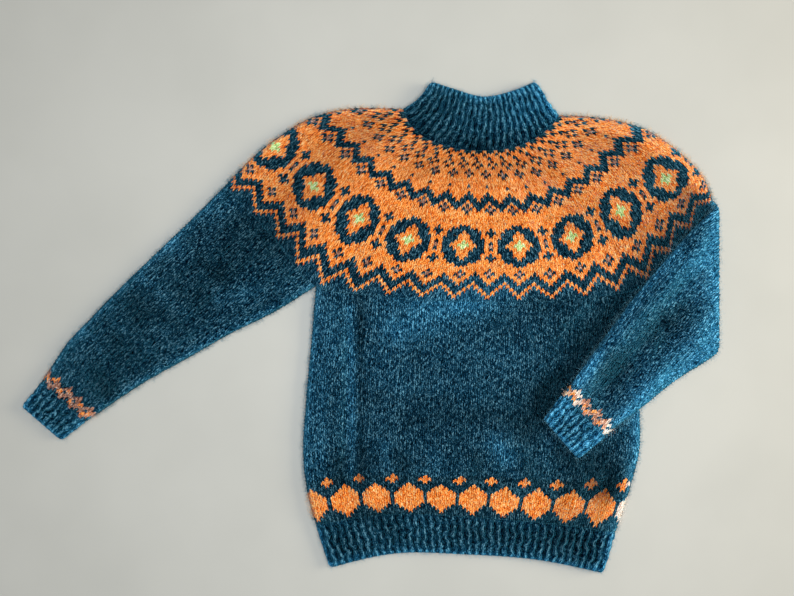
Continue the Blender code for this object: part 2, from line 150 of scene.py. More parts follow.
# ---- folds; the last column is how far they rise
LYING_FOLDS = strokes(TENTHS_OF_MM, (
    # the large ones, as on the solids
    (-136, 92, -141, -88, 12, -19), (-162, 96, -168, -90, 12, 12), (4, 98, -86, 66, 18, 16),
    (-60, 30, 58, 12, 26, -14), (-100, -52, -30, -76, 16, 13), (-352, 132, -300, 118, 12, -18),
    (-306, 150, -246, 140, 12, 13), (-412, 66, -374, 58, 10, -14),
    # finer ones: the strip beside the left fold
    (-139, 60, -143, -70, 5, -12), (-148, 80, -152, -80, 6, 10),
    # gathers above the rib
    (-118, -80, -112, -118, 5, 10), (-96, -84, -100, -112, 6, -10), (-68, -80, -60, -108, 6, 11),
    (-40, -78, -46, -104, 5, -10), (-10, -70, 4, -108, 7, 11), (34, -74, 30, -106, 6, -10),
    (58, -62, 44, -104, 8, 13), (88, -78, 94, -112, 6, -10), (118, -84, 112, -118, 6, 10),
    (150, -70, 142, -112, 7, -9),
    # drag lines of the chest
    (60, 80, 120, 100, 10, 11), (-110, 70, -60, 46, 10, -10), (-20, 60, 50, 48, 12, 10),
    (-84, 10, -34, -12, 10, 9), (10, -20, 74, -34, 11, -9),
    # the left sleeve
    (-250, 196, -212, 150, 10, -13), (-236, 120, -200, 128, 8, 12), (-276, 98, -226, 116, 8, -13),
    (-330, 170, -286, 156, 9, 11), (-368, 134, -330, 112, 8, 12), (-332, 66, -300, 88, 8, -11),
    (-398, 100, -360, 78, 8, 11), (-440, 60, -410, 36, 7, 10), (-440, 30, -424, 10, 6, -8),
    # puckers of the colour work
    (-190, 250, -150, 215, 9, 10), (150, 210, 190, 240, 10, 11), (80, 250, 120, 215, 8, -9),
    (-40, 250, -56, 200, 8, 9), (40, 240, 60, 190, 8, 9), (-20, 150, -60, 128, 9, 9),
    (60, 140, 100, 150, 9, -8), (-130, 180, -100, 150, 9, 9), (140, 170, 120, 140, 9, 9),
))
FLAP_FOLDS = strokes(TENTHS_OF_MM, (
    # the long hollow and the full ridges on both sides of it
    (232, 112, 150, 10, 19, -46), (214, 128, 128, 36, 13, 30), (250, 82, 168, -6, 13, 26),
    (252, 176, 216, 134, 12, 18),
    # cross creases at the elbow and short ones towards the cuff
    (250, 136, 216, 116, 7, -13), (236, 156, 206, 142, 7, 11), (206, 74, 186, 40, 6, 12),
    (190, 104, 170, 70, 6, -8), (176, 36, 152, 4, 6, 10), (138, 20, 124, 2, 6, -8),
))
# painted light and painted shade, among them painted shadows beside the folded-over sleeve and its cuff and
# at the neck; the last column is their strength
LYING_PAINTED_SHADING = strokes(HUNDREDTHS, (
    # chest
    (-88, 82, 40, 124, 22, 70), (-100, 112, -10, 110, 14, 30), (-105, 40, 30, 40, 32, 18),
    (-90, 8, 10, 10, 16, 20), (-30, 131, 110, 129, 9, 40),
    # strip beside the left fold
    (-160, 104, -166, -60, 22, 35), (-137, 100, -136, -85, 7, 85), (-128, 110, -127.5, 60, 7, -35),
    (-126.5, 100, -126.5, -85, 5, -35), (-150, -66, -148, -84, 10, -60), (-156, 30, -160, -90, 8, -35),
    # across the belly, and painted shadow beside the folded-over sleeve
    (-70, -20, 70, -16, 13, -35), (-116, 4, -30, 0, 9, -35), (60, 112, 100, 100, 22, -25),
    (60, -33, 96, 10, 18, -65), (80, 4, 90, -14, 15, -150), (250, 206, 100, 17, 18, -135),
    (196, 160, 120, 70, 30, -30),
    # gathers above the rib
    (26, -52, 36, -66, 14, 90), (-99, -50, -95, -75, 7, 40), (-43, -58, -43, -80, 8, 40),
    (79, -50, 84, -75, 8, 40), (-127, -55, -125, -88, 10, -45), (-86, -60, -78, -72, 9, -40),
    (6, -60, 0, -84, 8, -35), (56, -70, 60, -86, 7, -35), (105, -58, 152, -90, 22, -75),
    (104, -96, 146, -100, 10, -45), (146, -60, 150, -95, 16, -40), (-120, -66, 110, -70, 24, -15),
    # rib
    (-116, -130, -92, -140, 14, -55), (100, -152, 134, -166, 18, -60), (-20, -144, 110, -154, 10, -45),
    (-150, -158, -138, -156, 11, -55),
    # the left sleeve, in painted shade but for a few streaks of painted light
    (-236, 180, -392, 56, 34, -55), (-308, 152, -284, 142, 14, -55), (-380, 108, -368, 92, 13, -50),
    (-416, 34, -404, 12, 13, -50), (-290, 210, -272, 216, 10, 30), (-338, 174, -322, 160, 11, 40),
    (-366, 134, -348, 128, 10, 35), (-434, 72, -418, 68, 10, 30), (-232, 196, -200, 160, 12, -30),
    (-344, 112, -318, 96, 9, 45), (-300, 142, -284, 112, 8, 40), (-272, 116, -254, 120, 12, 45),
    (-392, 80, -362, 56, 8, 40), (-418, 58, -404, 40, 7, 35), (-276, 172, -262, 200, 11, -35),
    (-360, 84, -346, 74, 12, 40), (-420, 16, -406, 8, 12, -45), (-316, 124, -316, 134, 10, 30),
    (-330, 60, -240, 110, 12, 15), (-486, 10, -440, -24, 12, 10),
    # yoke
    (-30, 160, 70, 160, 34, 20), (-90, 316, -60, 320, 20, -35), (240, 232, 262, 212, 14, -40),
    (100, -124, 156, -132, 20, -25), (-130, 300, -200, 230, 34, -42), (150, 284, 240, 226, 40, -42),
    (120, 200, 210, 190, 36, -35), (-62, 262, 80, 262, 22, -35),
    # neck and collar
    (-56, 298, 7, 282, 8, -60), (7, 282, 74, 296, 8, -40), (-60, 322, -30, 310, 16, -25),
    (50, 318, 74, 334, 20, 55), (4, 336, 56, 350, 12, 35), (-20, 322, 60, 322, 24, 14),
))
# painted light and painted shade on the folded-over sleeve; the last column is their strength
FLAP_PAINTED_SHADING = strokes(HUNDREDTHS, (
    (276, 206, 276, 52, 24, 135), (262, 172, 228, 150, 18, 35), (262, 206, 140, 62, 11, -85),
    (152, 48, 142, 34, 10, -55), (250, 194, 232, 174, 9, -40), (240, 120, 224, 106, 13, 45),
    (190, 56, 180, 46, 10, 35), (236, 140, 130, 4, 60, 32), (252, 66, 182, 10, 16, 45),
    (158, 42, 150, 26, 12, -70), (207, 84, 160, 36, 10, -30), (226, 100, 216, 90, 12, -45),
    (246, 150, 214, 108, 10, 30), (86, 0, 126, -46, 26, 45),
))
# hollows of the layer that lies on the ground
UNDERSIDE_FOLDS = strokes(TENTHS_OF_MM, (
    (130, 90, 140, -80, 10, 9), (-120, 60, -60, -20, 12, 8), (-20, 180, 50, 60, 14, 8),
    (-350, 150, -270, 120, 10, 8), (-430, 50, -370, 60, 9, 7), (60, -60, 70, -120, 8, 7),
    (-80, -70, -90, -120, 8, 7), (-150, 260, -90, 220, 12, 7), (110, 260, 180, 230, 12, 7),
))
# slight unevenness of cloth laid out by hand; columns: wavelength, direction in degrees, phase, height
RIPPLES = (
    (0.083, 12, 0.4, 0.00022),
    (0.061, 74, 2.1, 0.00020),
    (0.043, 131, 4.0, 0.00016),
    (0.029, 48, 1.2, 0.00012),
    (0.023, 160, 5.3, 0.00010),
)
RIPPLE_BEND = 0.35           # how far a ripple's line bends, and how long its bends are, in wavelengths
BEND_WAVE = 1.9

# ---- stitches
STITCHES_ACROSS = 4          # points to a stitch
APEX = 0.34                  # a stitch's two legs lean together by this share of a row
CREST = 0.00055              # height of a leg's middle
VALLEY = -0.00062            # depth between two columns of stitches
NOTCH = -0.00025             # height of a leg where the next stitch covers it
CENTRE = -0.00060            # depth between the two legs
RIB_CREST = 0.0010
RIB_CREST_DIP = 0.0002       # how much lower a rib is between its stitches
RIB_MIDDLE = 0.0008          # height between a rib stitch's two legs
RIB_FLANK = -0.0005
RIB_VALLEY = -0.0012
PURL_RIDGE = 0.0003
KNIT_SHARE = 0.54            # share of a rib's width that its knit stitch takes
RIB_GROWS = 0.10             # share of a ribbed piece over which its ribs rise
# unevenness of hand knitting; columns: waves round, waves along, shift
WOBBLES = ((5, 1.3, 0.0007), (11, -2.1, 0.0006), (19, 3.7, 0.0005), (37, -5.9, 0.0003), (61, 9.1, 0.0002))
RIB_WOBBLE = 1.20            # ribs wobble this many times as far
WOBBLE_PHASES = (0.0, 1.7)   # of the shifts round and along
PHASE_STEP = 2.4
WOBBLE_FADES = 0.010         # distance from a piece's ends within which the stitches line up again
JITTER = 0.00016             # random shift of each point
SHADE_SPREAD = 0.05          # how far stitches of a yarn differ in brightness
SHADE_LIMITS = (0.7, 1.4)
NORMAL_STEP = 0.0004
# Painted light and shade on the yarn's colour: lighter under painted light, darker under painted shade.  Its
# strength counts in doublings of the colour.  Painted light lies on ridges and where the cloth turns over a
# side fold, reaching widest towards the folded-over sleeve, on the window's side, and painted shade lies in
# troughs; ribbed pieces are a little lighter all over.
PAINTED_EDGE_LIGHT_FROM_X = -0.05
PAINTED_EDGE_LIGHT_TO_X = 0.20
PAINTED_EDGE_LIGHT_REACH = (0.007, 0.014)
PAINTED_EDGE_LIGHT = (0.75, 1.30)
PAINTED_RIM_LIGHT = 1.60
PAINTED_RIM_LIGHT_REACH = 0.006
PAINTED_SHADING_PER_RISE = 95.0
PAINTED_SHADING_STRENGTH = 1.60
RIB_LIGHTENING = 0.24
PAINTED_SHADING_LEAST = -2.2
PAINTED_SHADING_MOST = 2.1
YOKE_PAINTED_SHADING = 0.80              # share of the painted light and shade that the colour work shows
INNER_STITCHES = 20.0        # stitches that the plain inner wall's map shows
RING_POINTS = 401            # points across a ring
FINE_POINTS = 1200           # points on a curve before they are spread evenly
PLAN_ROWS = 240              # steps along a tube's plan
UNFOLDED_RINGS = 61          # rings of the sleeve that is folded
BOW_FADES = 0.25             # share of that sleeve over which the curve of the yoke's edge straightens out
LEAST_HALF = 0.0002          # least height of a layer above or below a tube's middle
LEAST_INSIDE = 0.03          # least share of its height that the folded-over sleeve's inside takes
UNDERSIDE_RUN = 0.02         # distance from a side fold over which the hollows of the underside begin
RIB_SETTLES = 0.35           # share of a ribbed piece over which it settles to its own height
COLLAR_RISES = 0.3

# map places: where all strips start and how wide they are, start and height of the outer side's front and
# back layers, and low and high edges of the inner wall's strip and of those of a tube's two end walls
MAP_START = 0.02
MAP_WIDTH = 0.96
FRONT_MAP = (0.54, 0.45)
BACK_MAP = (0.09, 0.44)
INNER_MAP = (0.03, 0.06)
START_MAP = (0.065, 0.08)
END_MAP = (0.008, 0.022)

# ---- fuzz
FUZZ_PER_AREA = 1.0e5        # fibres to a square metre of cloth, back layer and all
FUZZ_LENGTH = 0.0036
FUZZ_RADIUS = 0.00006
FUZZ_DEPTH = 0.0004
FUZZ_FACING = -0.25          # fibres start where the way out of the cloth rises at least this much
FUZZ_AT_EDGE = 14.0          # how much closer they stand where the cloth faces sideways
FUZZ_STANDS = 0.9            # and how much further off the cloth
FUZZ_VARIES = 0.35           # spread of their lengths, in natural logarithms
FUZZ_LIFTS = (0.10, 0.75)    # ranges: how steeply they rise, how they bend, thickness, last rise and shade
FUZZ_BENDS = (-0.7, 0.7)
FUZZ_THICKNESS = (0.7, 1.3)
FUZZ_TIPS = (-0.1, 0.8)
FUZZ_SHADES = (0.6, 1.4)
SIDEWAYS_FROM = 0.8          # the cloth begins to face sideways where its way out rises by this much
SIDEWAYS_RUN = 0.5
RIM_FUZZ = 0.004             # they lean outwards this near to a free edge
RIM_LEAN = 1.6
STITCH_HALF = 0.0011
# the faces of a fibre, whose points are its two tips and three round its middle
SPINDLE_SIDES = np.array(((0, 3, 2), (0, 4, 3), (0, 2, 4), (1, 2, 3), (1, 3, 4), (1, 4, 2)))

# ---- how the stitches are spread
YOKE_REPEATS = 18
FIRST_CENTRE = 2.5 / 16      # where the first motif's centre lies, in repeats from the left fold
YOKE_FRONT = 140.0 / 288.0   # share of the yoke's stitches on its front
ARM_STITCHES = 64
CUFF_STITCHES = 36
BODY_STITCHES = 160
COLLAR_STITCHES = 96

# ---- yarns
TEAL, DARK_TEAL, ORANGE, GREEN, PALE, WHITE, SHADED_TEAL = range(7)
YARNS = np.array((
    (0.0106, 0.0575, 0.103),     # teal
    (0.0080, 0.0410, 0.071),     # dark teal
    (0.975, 0.370, 0.082),       # orange
    (0.640, 0.800, 0.380),       # pale green
    (0.470, 0.235, 0.150),       # brown-pink
    (0.800, 0.640, 0.560),       # white
    (0.0056, 0.0220, 0.036),     # painted shade: a darker copy of the dark teal, for stitches that sink in among the orange
))
SHEEN_TINT = (0.10, 0.58, 0.85)
# columns: leg, row dip, chance, side light, strand, fibre, cloud, hollow; leg, row dip and hollow are painted
# shade between legs, between rows and in hollows, side light is painted light on every second leg
STOCKING_LOOK = (0.84, 0.74, 0.24, 0.08, 0.62, 0.22, 0.06, 0.16)
RIB_LOOK = (0.45, 0.40, 0.24, 0.03, 0.62, 0.28, 0.08, 0.34)
LETTERS = {"#": DARK_TEAL, "s": SHADED_TEAL, "t": TEAL, ".": ORANGE, "+": GREEN, "o": PALE}

# The yoke's charts, from the neck down: stitches to a repeat, then the rows.  A row narrower than the repeat
# is used over again.  # dark teal, s the same in painted shade among orange, t teal, . orange, + pale green,
# o brown-pink
YOKE_CHARTS = (
    (6, (".ss",
         "s..",
         ".s.")),
    (8, ("..s.",
         ".s.s",
         "..s.")),
    (10, ("s....",
          "os..s",
          "s....",
          ".....")),
    (12, ("......",
          "#.....",
          "......",
          "#.....",
          "##...#",
          "###.##",
          ".#####",
          "#.###.",
          "o#.#.#",
          "#.....",
          "......",
          "......")),
    (14, ("..............",
          "......###.....",
          "#...#######...",
          "##.####.####.#",
          "#..###...###..",
          "..####...####.",
          "#.###..+..###.",
          "o.##..+++..##.",
          "#.###..+..###.",
          "..####...####.",
          "#..###...###..",
          "##.####.####.#",
          "#...#######...",
          "......###.....")),
    (16, ("........",
          "#.......",
          "o#..#..#",
          "#..###..",
          "..#####.",
          ".###.###",
          "###.t.##",
          "##.ttt.#",
          "#.ttttt.",
          ".ttttttt",
          "tttttttt")),
)
# the border above the rib, and the one above each cuff
HEM_CHART = (
    ".#######",
    "..#####.",
    ".#######",
    "####.###",
    "###...##",
    "##.....#",
    "#.......",
    "#.......",
    "#.......",
    "#.......",
    "##.....#",
    "###...##",
    "####.###",
    "########",
)
CUFF_CHART = (
    "##.#",
    "#...",
    "..#.",
    "#...",
    "##.#",
)
HEM_SHIFT = 3                # stitches from the left fold to the start of the border's repeat
HEM_WHITES = (78, 79, 80)    # columns in which the orange is white instead
CUFF_WHITES = (22, 23, 34, 35)
BODY_ROWS = 71
HEM_ROWS = 14
COLLAR_ROWS = 20
CUFF_ROWS = 12
LEFT_SLEEVE_ROWS = 82
RIGHT_SLEEVE_ROWS = 76

# ---- floor, light and camera
FLOOR_SIZE = 5.0
FLOOR_DEPTH = 0.0003         # how far the floor lies below the cloth
# columns: name, place, place it points at, width and height, power, colour
LIGHTS = (
    ("window", (2.0, 0.3, 0.85), (0.0, 0.1, 0.0), (1.1, 0.8), 46.0, (1.0, 0.89, 0.68)),
    ("room", (0.0, 0.1, 1.25), (0.0, 0.1001, 0.0), (0.8, 0.8), 17.2, (0.92, 0.97, 1.0)),
)
CAMERA_LENS = 29.0
VIEW_WIDTH = 0.884           # width of what shows, at VIEW_HEIGHT
VIEW_CENTRE = (-0.0857, 0.1135)
VIEW_HEIGHT = 0.006
VIEW_SENSOR = 36.0
SEED = 7


def smooth_through(knots, values, at):
    """Cubic curve through values at knots, with three-point slopes, read at other places."""
    knots = np.asarray(knots, float)
    values = np.asarray(values, float)
    at = np.clip(np.asarray(at, float), knots[0], knots[-1])
    shape = (-1,) + (1,) * (values.ndim - 1)
    steps = np.diff(knots).reshape(shape)
    chords = np.diff(values, axis=0) / steps
    slopes = np.empty_like(values)
    if len(knots) == 2:
        slopes[:] = chords[0]
    else:
        weights = steps[:-1] + steps[1:]
        slopes[1:-1] = (steps[1:] * chords[:-1] + steps[:-1] * chords[1:]) / weights
        slopes[0] = 1.5 * chords[0] - 0.5 * slopes[1]
        slopes[-1] = 1.5 * chords[-1] - 0.5 * slopes[-2]
    left = np.clip(np.searchsorted(knots, at, side="right") - 1, 0, len(knots) - 2)
    span = steps[left]
    t = (at.reshape(shape) - knots[left].reshape(shape)) / span
    start = values[left] * (2 * t**3 - 3 * t**2 + 1) + slopes[left] * span * (t**3 - 2 * t**2 + t)
    end = values[left + 1] * (3 * t**2 - 2 * t**3) + slopes[left + 1] * span * (t**3 - t**2)
    return start + end


def lengths_along(points):
    """Distance of each point of a polyline from its start."""
    points = np.asarray(points, float)
    return np.concatenate(([0.0], np.cumsum(np.linalg.norm(np.diff(points, axis=0), axis=1))))


def evenly(points, count=RING_POINTS, first=0.0, last=1.0):
    """Evenly spaced points along a polyline, or along the stretch of it between two shares of its length."""
    distance = lengths_along(points)
    places = np.linspace(first * distance[-1], last * distance[-1], count)
    return np.stack([np.interp(places, distance, points[:, axis]) for axis in (0, 1)], axis=1)


def fine_curve(controls):
    """Marks of control points, and of the many points on the smooth curve through them, and those points."""
    marks = lengths_along(controls)
    fine_marks = np.linspace(0.0, marks[-1], FINE_POINTS)
    return marks, fine_marks, smooth_through(marks, controls, fine_marks)


def curve(controls, count=RING_POINTS):
    """Evenly spaced points on the smooth curve through control points."""
    return evenly(fine_curve(controls)[2], count)


def share_at(controls, column):
    """Share of a smooth curve's length at one of its control points."""
    marks, fine_marks, fine = fine_curve(controls)
    distance = lengths_along(fine)
    return float(np.interp(marks[column], fine_marks, distance / distance[-1]))


def straight(ends, count=RING_POINTS):
    """Evenly spaced points between two ends."""
    return np.linspace(ends[0], ends[1], count)


def blend(ends, share):
    """What lies between two values, at a share of the way from the first."""
    return ends[0] + (ends[1] - ends[0]) * share


def unit(vectors):
    """Vectors at length 1."""
    return vectors / np.maximum(np.linalg.norm(vectors, axis=1, keepdims=True), 1e-12)


def soft_step(x):
    """0 below 0, 1 above 1, smooth between."""
    x = np.clip(x, 0.0, 1.0)
    return x * x * (3.0 - 2.0 * x)


def distance_to_segment(x, y, start, end):
    """Distance of points from a segment, and their share of the way along it."""
    along = np.subtract(end, start)
    share = ((x - start[0]) * along[0] + (y - start[1]) * along[1]) / (along @ along)
    share = np.clip(share, 0.0, 1.0)
    return np.hypot(x - start[0] - share * along[0], y - start[1] - share * along[1]), share


def folds_rise(x, y, folds):
    """Height that soft folds add."""
    rise = np.zeros(np.shape(x))
    for start, end, half_width, height in folds:
        distance, _ = distance_to_segment(x, y, start, end)
        rise = rise + height * np.exp(-(distance / half_width) ** 2)
    return rise


def painted_shading_over(x, y, inset, folds, painted_shading):
    """Strength of the painted light and shade, counted in doublings of the yarn's colour."""
    towards = soft_step((x - PAINTED_EDGE_LIGHT_FROM_X) / (PAINTED_EDGE_LIGHT_TO_X - PAINTED_EDGE_LIGHT_FROM_X))
    strength = blend(PAINTED_EDGE_LIGHT, towards) * np.exp(-(inset / blend(PAINTED_EDGE_LIGHT_REACH, towards)) ** 2)
    return PAINTED_SHADING_STRENGTH * (strength + PAINTED_SHADING_PER_RISE * folds_rise(x, y, folds) + folds_rise(x, y, painted_shading))


def ripples(x, y):
    """Height of the cloth's slight unevenness."""
    rise = np.zeros(np.shape(x))
    for wavelength, degrees, phase, height in RIPPLES:
        angle = math.radians(degrees)
        along = x * math.cos(angle) + y * math.sin(angle)
        across = y * math.cos(angle) - x * math.sin(angle)
        turns = across / (BEND_WAVE * wavelength)
        bend = RIPPLE_BEND * wavelength * np.sin(math.tau * turns + 2.0 * phase)
        rise = rise + height * np.sin(math.tau * (along + bend) / wavelength + phase)
    return rise


def edge_fullness(inset):
    """Height that the cloth gains at a distance in from a side fold."""
    return EDGE_PUFF * np.exp(-((inset - PUFF_PLACE) / PUFF_WIDTH) ** 2)


def lying_top(x, y, inset):
    """Height of the front layer of all that lies on the ground."""
    distance, share = distance_to_segment(x, y, *PRESS_AXIS)
    free = soft_step((distance - blend(PRESS_HALF_WIDTHS, share)) / PRESS_RUN)
    loose = LOOSE_TOP - PRESSED_TOP + edge_fullness(inset) + folds_rise(x, y, LYING_FOLDS) + ripples(x, y)
    return PRESSED_TOP + free * loose


def flap_top(x, y, inset):
    """Height of the visible layer of the folded-over sleeve, before it sags."""
    settled = soft_step((FOLD_AXIS_X - x) / FLAP_SETTLES)
    rolled = 2.0 * FOLD_AXIS_Z
    loose = FLAP_REST + FLAP_LOFT - rolled + edge_fullness(inset)
    return rolled + settled * (loose + folds_rise(x, y, FLAP_FOLDS) + ripples(x, y))


def flap_sag(x, y):
    """How far the folded-over sleeve sags between the body and its own upper arm."""
    start, end = np.array(UNDER_EDGE)
    along = (end - start) / np.linalg.norm(end - start)
    below_arm = (x - start[0]) * along[1] - (y - start[1]) * along[0]
    before_fold = soft_step((FOLD_AXIS_X - x) / SAG_RUN)
    return SAG * soft_step(np.minimum(x - BODY_SIDE_X, below_arm) / SAG_RUN) * before_fold


class Tube:
    """A knitted tube that lies flat.

    v runs along it from 0 to 1.  t runs round it from 0 to 1: over the front from the first side fold, which
    is 0, to the second, which is front_share, and back along the layer below.
    """

    def __init__(self, rings, top, rest=0.0, wall=WALL, marks=None, front_share=0.5, rim=0.0, painted_shading_share=1.0):
        rings = np.array(rings)
        if marks is None:
            steps = np.linalg.norm(np.diff(rings, axis=0), axis=2).mean(axis=1)
            marks = np.concatenate(([0.0], np.cumsum(steps)))
        self.plan = smooth_through(marks, rings, np.linspace(marks[0], marks[-1], PLAN_ROWS + 1))
        self.widths = np.linalg.norm(np.diff(self.plan, axis=1), axis=2).sum(axis=1)
        steps = np.linalg.norm(np.diff(self.plan, axis=0), axis=2).mean(axis=1)
        self.length = float(steps.sum())
        self.top = top
        self.rest = rest
        self.wall = wall
        self.front_share = front_share
        self.rim = rim
        self.painted_shading_share = painted_shading_share

    def cut(self):
        """Widest way round, length along and area of the cloth."""
        rounds = 2.0 * self.widths
        return float(rounds.max()), self.length, float(rounds.mean()) * self.length

    def spot(self, v, share):
        """Plan positions at v along the tube and at shares of the way across."""
        row = np.clip(v, 0.0, 1.0) * PLAN_ROWS
        column = np.clip(share, 0.0, 1.0) * (self.plan.shape[1] - 1)
        i = np.minimum(row.astype(int), PLAN_ROWS - 1)
        j = np.minimum(column.astype(int), self.plan.shape[1] - 2)
        a = (row - i)[:, None]
        b = (column - j)[:, None]
        near = self.plan[i, j] * (1 - b) + self.plan[i, j + 1] * b
        far = self.plan[i + 1, j] * (1 - b) + self.plan[i + 1, j + 1] * b
        point = near * (1 - a) + far * a
        return point[:, 0], point[:, 1]

    def lie(self, v, t, inner):
        """Plan position, distance from the nearer fold, fullness and layer of places on the tube."""
        t = t % 1.0
        is_front = t < self.front_share
        across = np.where(is_front, t / self.front_share, (1.0 - t) / (1.0 - self.front_share))
        width = np.interp(v, np.linspace(0.0, 1.0, PLAN_ROWS + 1), self.widths)
        half = width + 2.0 * (QUARTER_TURN - EDGE_ROUND)
        place = across * half
        near = np.minimum(place, half - place)
        angle = np.clip(near / QUARTER_TURN, 0.0, 1.0) * math.pi / 2
        rounding = EDGE_ROUND * (1.0 - np.cos(angle))
        inset = np.where(near < QUARTER_TURN, rounding, EDGE_ROUND + near - QUARTER_TURN)
        drawn_in = inset + self.wall * np.cos(angle) if inner else inset
        share = np.where(place < 0.5 * half, drawn_in, width - drawn_in) / width
        x, y = self.spot(v, share)
        return x, y, inset, np.sin(angle), is_front

    def heights(self, v, x, y, inset, turn, is_front, inner):
        """Height of places on the tube."""
        top = self.top(x, y, inset, v)
        middle = 0.5 * (top + self.rest)
        wall = self.wall if inner else 0.0
        above = np.maximum(top - wall - middle, LEAST_HALF)
        below = np.maximum(middle - self.rest - wall, LEAST_HALF)
        hollow = 0.0
        if self.rest == 0.0 and not inner:
            hollow = folds_rise(x, y, UNDERSIDE_FOLDS) * soft_step((inset - EDGE_ROUND) / UNDERSIDE_RUN)
        return np.where(is_front, middle + above * turn, middle - below * turn + hollow)

    def surface(self, v, t, inner=False):
        """Points of the outer or the inner side."""
        x, y, inset, turn, is_front = self.lie(v, t, inner)
        z = self.heights(v, x, y, inset, turn, is_front, inner)
        return np.column_stack((x, y, z))

    def lowest(self, v, t, points):
        """Height of what lies below the tube's stitches."""
        return self.rest

    def painted_shading(self, v, t, points):
        """Factor by which painted light and shade lighten or darken the yarn at places on the outer side."""
        _, _, inset, _, _ = self.lie(v, t, False)
        tables = (LYING_FOLDS, LYING_PAINTED_SHADING) if self.rest == 0.0 else (FLAP_FOLDS, FLAP_PAINTED_SHADING)
        strength = painted_shading_over(points[:, 0], points[:, 1], inset, *tables)
        # painted light along a free edge; ribbed pieces are lighter all over
        if self.rim:
            from_rim = (1.0 - v) * self.length
            strength = strength + RIB_LIGHTENING + PAINTED_RIM_LIGHT * np.exp(-(from_rim / PAINTED_RIM_LIGHT_REACH) ** 2)
        return 2.0 ** (self.painted_shading_share * np.clip(strength, PAINTED_SHADING_LEAST, PAINTED_SHADING_MOST))

    def thickness_left(self, v):
        """Share of the wall's thickness, less than 1 where a free edge rounds off."""
        if not self.rim:
            return np.ones_like(v)
        near = np.clip((1.0 - v) * self.length / self.rim, 0.0, 1.0)
        return blend((RIM_LEFT, 1.0), np.sqrt(1.0 - (1.0 - near) ** 2))


class FoldedTube(Tube):
    """The sleeve that rolls over a fold and lies back over the front.

    Its rings are those of the unfolded sleeve.
    """

    def lowest(self, v, t, points):
        flat_x = self.lie(v, t, False)[0]
        x, y = points[:, 0], points[:, 1]
        room = FLAP_CLEARANCE * soft_step((FOLD_AXIS_X - x) / CLEARANCE_RUN)
        return np.where(flat_x - FOLD_AXIS_X > ROLL_LENGTH, FLAP_REST + room - flap_sag(x, y), 0.0)

    def painted_shading(self, v, t, points):
        flat_x, _, inset, _, _ = self.lie(v, t, False)
        x, y = points[:, 0], points[:, 1]
        below = painted_shading_over(x, y, inset, LYING_FOLDS, LYING_PAINTED_SHADING)
        over = painted_shading_over(x, y, inset, FLAP_FOLDS, FLAP_PAINTED_SHADING)
        folded = soft_step((flat_x - FOLD_AXIS_X + 0.5 * ROLL_LENGTH) / ROLL_LENGTH)
        return 2.0 ** np.clip(blend((below, over), folded), PAINTED_SHADING_LEAST, PAINTED_SHADING_MOST)

    def surface(self, v, t, inner=False):
        x, y, inset, turn, is_front = self.lie(v, t, inner)
        wall = self.wall if inner else 0.0
        reach = 0.5 - wall / PRESSED_TOP
        level = 0.5 + np.where(is_front, reach, -reach) * turn
        past = x - FOLD_AXIS_X
        radius = FOLD_AXIS_Z - PRESSED_TOP * level
        angle = np.clip(past / ROLL_LENGTH, 0.0, 1.0) * math.pi
        rolled_x = FOLD_AXIS_X + radius * np.sin(angle)
        rolled_z = FOLD_AXIS_Z - radius * np.cos(angle)
        over_x = FOLD_AXIS_X - (past - ROLL_LENGTH)
        loft = flap_top(over_x, y, inset) - FLAP_REST
        raised = np.where(is_front, 0.5 * (1 - turn), 0.5 * (1 + turn))
        if inner:
            raised = 0.5 + (raised - 0.5) * 2.0 * np.maximum(0.5 - wall / loft, LEAST_INSIDE)
        over_z = FLAP_REST + raised * loft - flap_sag(over_x, y)
        is_over = past > ROLL_LENGTH
        new_x = np.where(past <= 0.0, x, np.where(is_over, over_x, rolled_x))
        new_z = np.where(past <= 0.0, PRESSED_TOP * level, np.where(is_over, over_z, rolled_z))
        return np.column_stack((new_x, y, new_z))


# ---- where the columns of stitches lie
def quarter_columns(count, ribbed=0.0):
    """Places of a row's points, in stitches: four to a stitch; a rib's knit stitch is wider than its purl."""
    places = np.arange(count * STITCHES_ACROSS) / STITCHES_ACROSS
    rib = 2.0 * np.floor(places / 2.0)
    within = places - rib
    knit = within * 2.0 * KNIT_SHARE
    purl = 2.0 * KNIT_SHARE + (within - 1.0) * 2.0 * (1.0 - KNIT_SHARE)
    return blend((places, rib + np.where(within < 1.0, knit, purl)), ribbed)


def even_columns(count):
    """Columns spread evenly round a tube."""
    return lambda row, v: (count, quarter_columns(count) / count)


def ribbed_columns(count):
    """Columns of a ribbed piece, which start as its neighbour's do."""
    return lambda row, v: (count, quarter_columns(count, soft_step(v / RIB_GROWS)) / count)


def yoke_columns(row, v):
    """Columns of the yoke, whose motifs' centres line up from band to band."""
    repeat = yoke_band(row)[0]
    count = repeat * YOKE_REPEATS
    column = quarter_columns(count)
    return count, (FIRST_CENTRE + (column - repeat // 2 - 0.5) / repeat) / YOKE_REPEATS


def sleeve_columns(rows):
    """Columns of a sleeve: they run on from the fold along the top of the arm, and end at its underside."""

    def columns(row, v):
        wanted = blend((ARM_STITCHES, CUFF_STITCHES), v)
        count = 2 * round(0.5 * blend((ARM_STITCHES, CUFF_STITCHES), (row + 0.5) / rows))
        column = quarter_columns(count)
        t = 0.5 + (column - 0.5 * count) / wanted
        first = 0.5 + (1.0 - 0.5 * count) / wanted
        t = np.where(column < 1.0, first * column, t)
        t = np.where(column > count - 1.0, 1.0 - first * (count - column), t)
        return count, t

    return columns


# ---- charts
def yoke_band(row):
    """Repeat width and chart row of a row of the yoke."""
    for repeat, chart in YOKE_CHARTS:
        if row < len(chart):
            return repeat, chart[row]
        row -= len(chart)
    raise IndexError(row)


def yoke_chart(row, column):
    """Yarn of stitches of the yoke."""
    _, line = yoke_band(row)
    return np.array([LETTERS[letter] for letter in line])[column % len(line)]


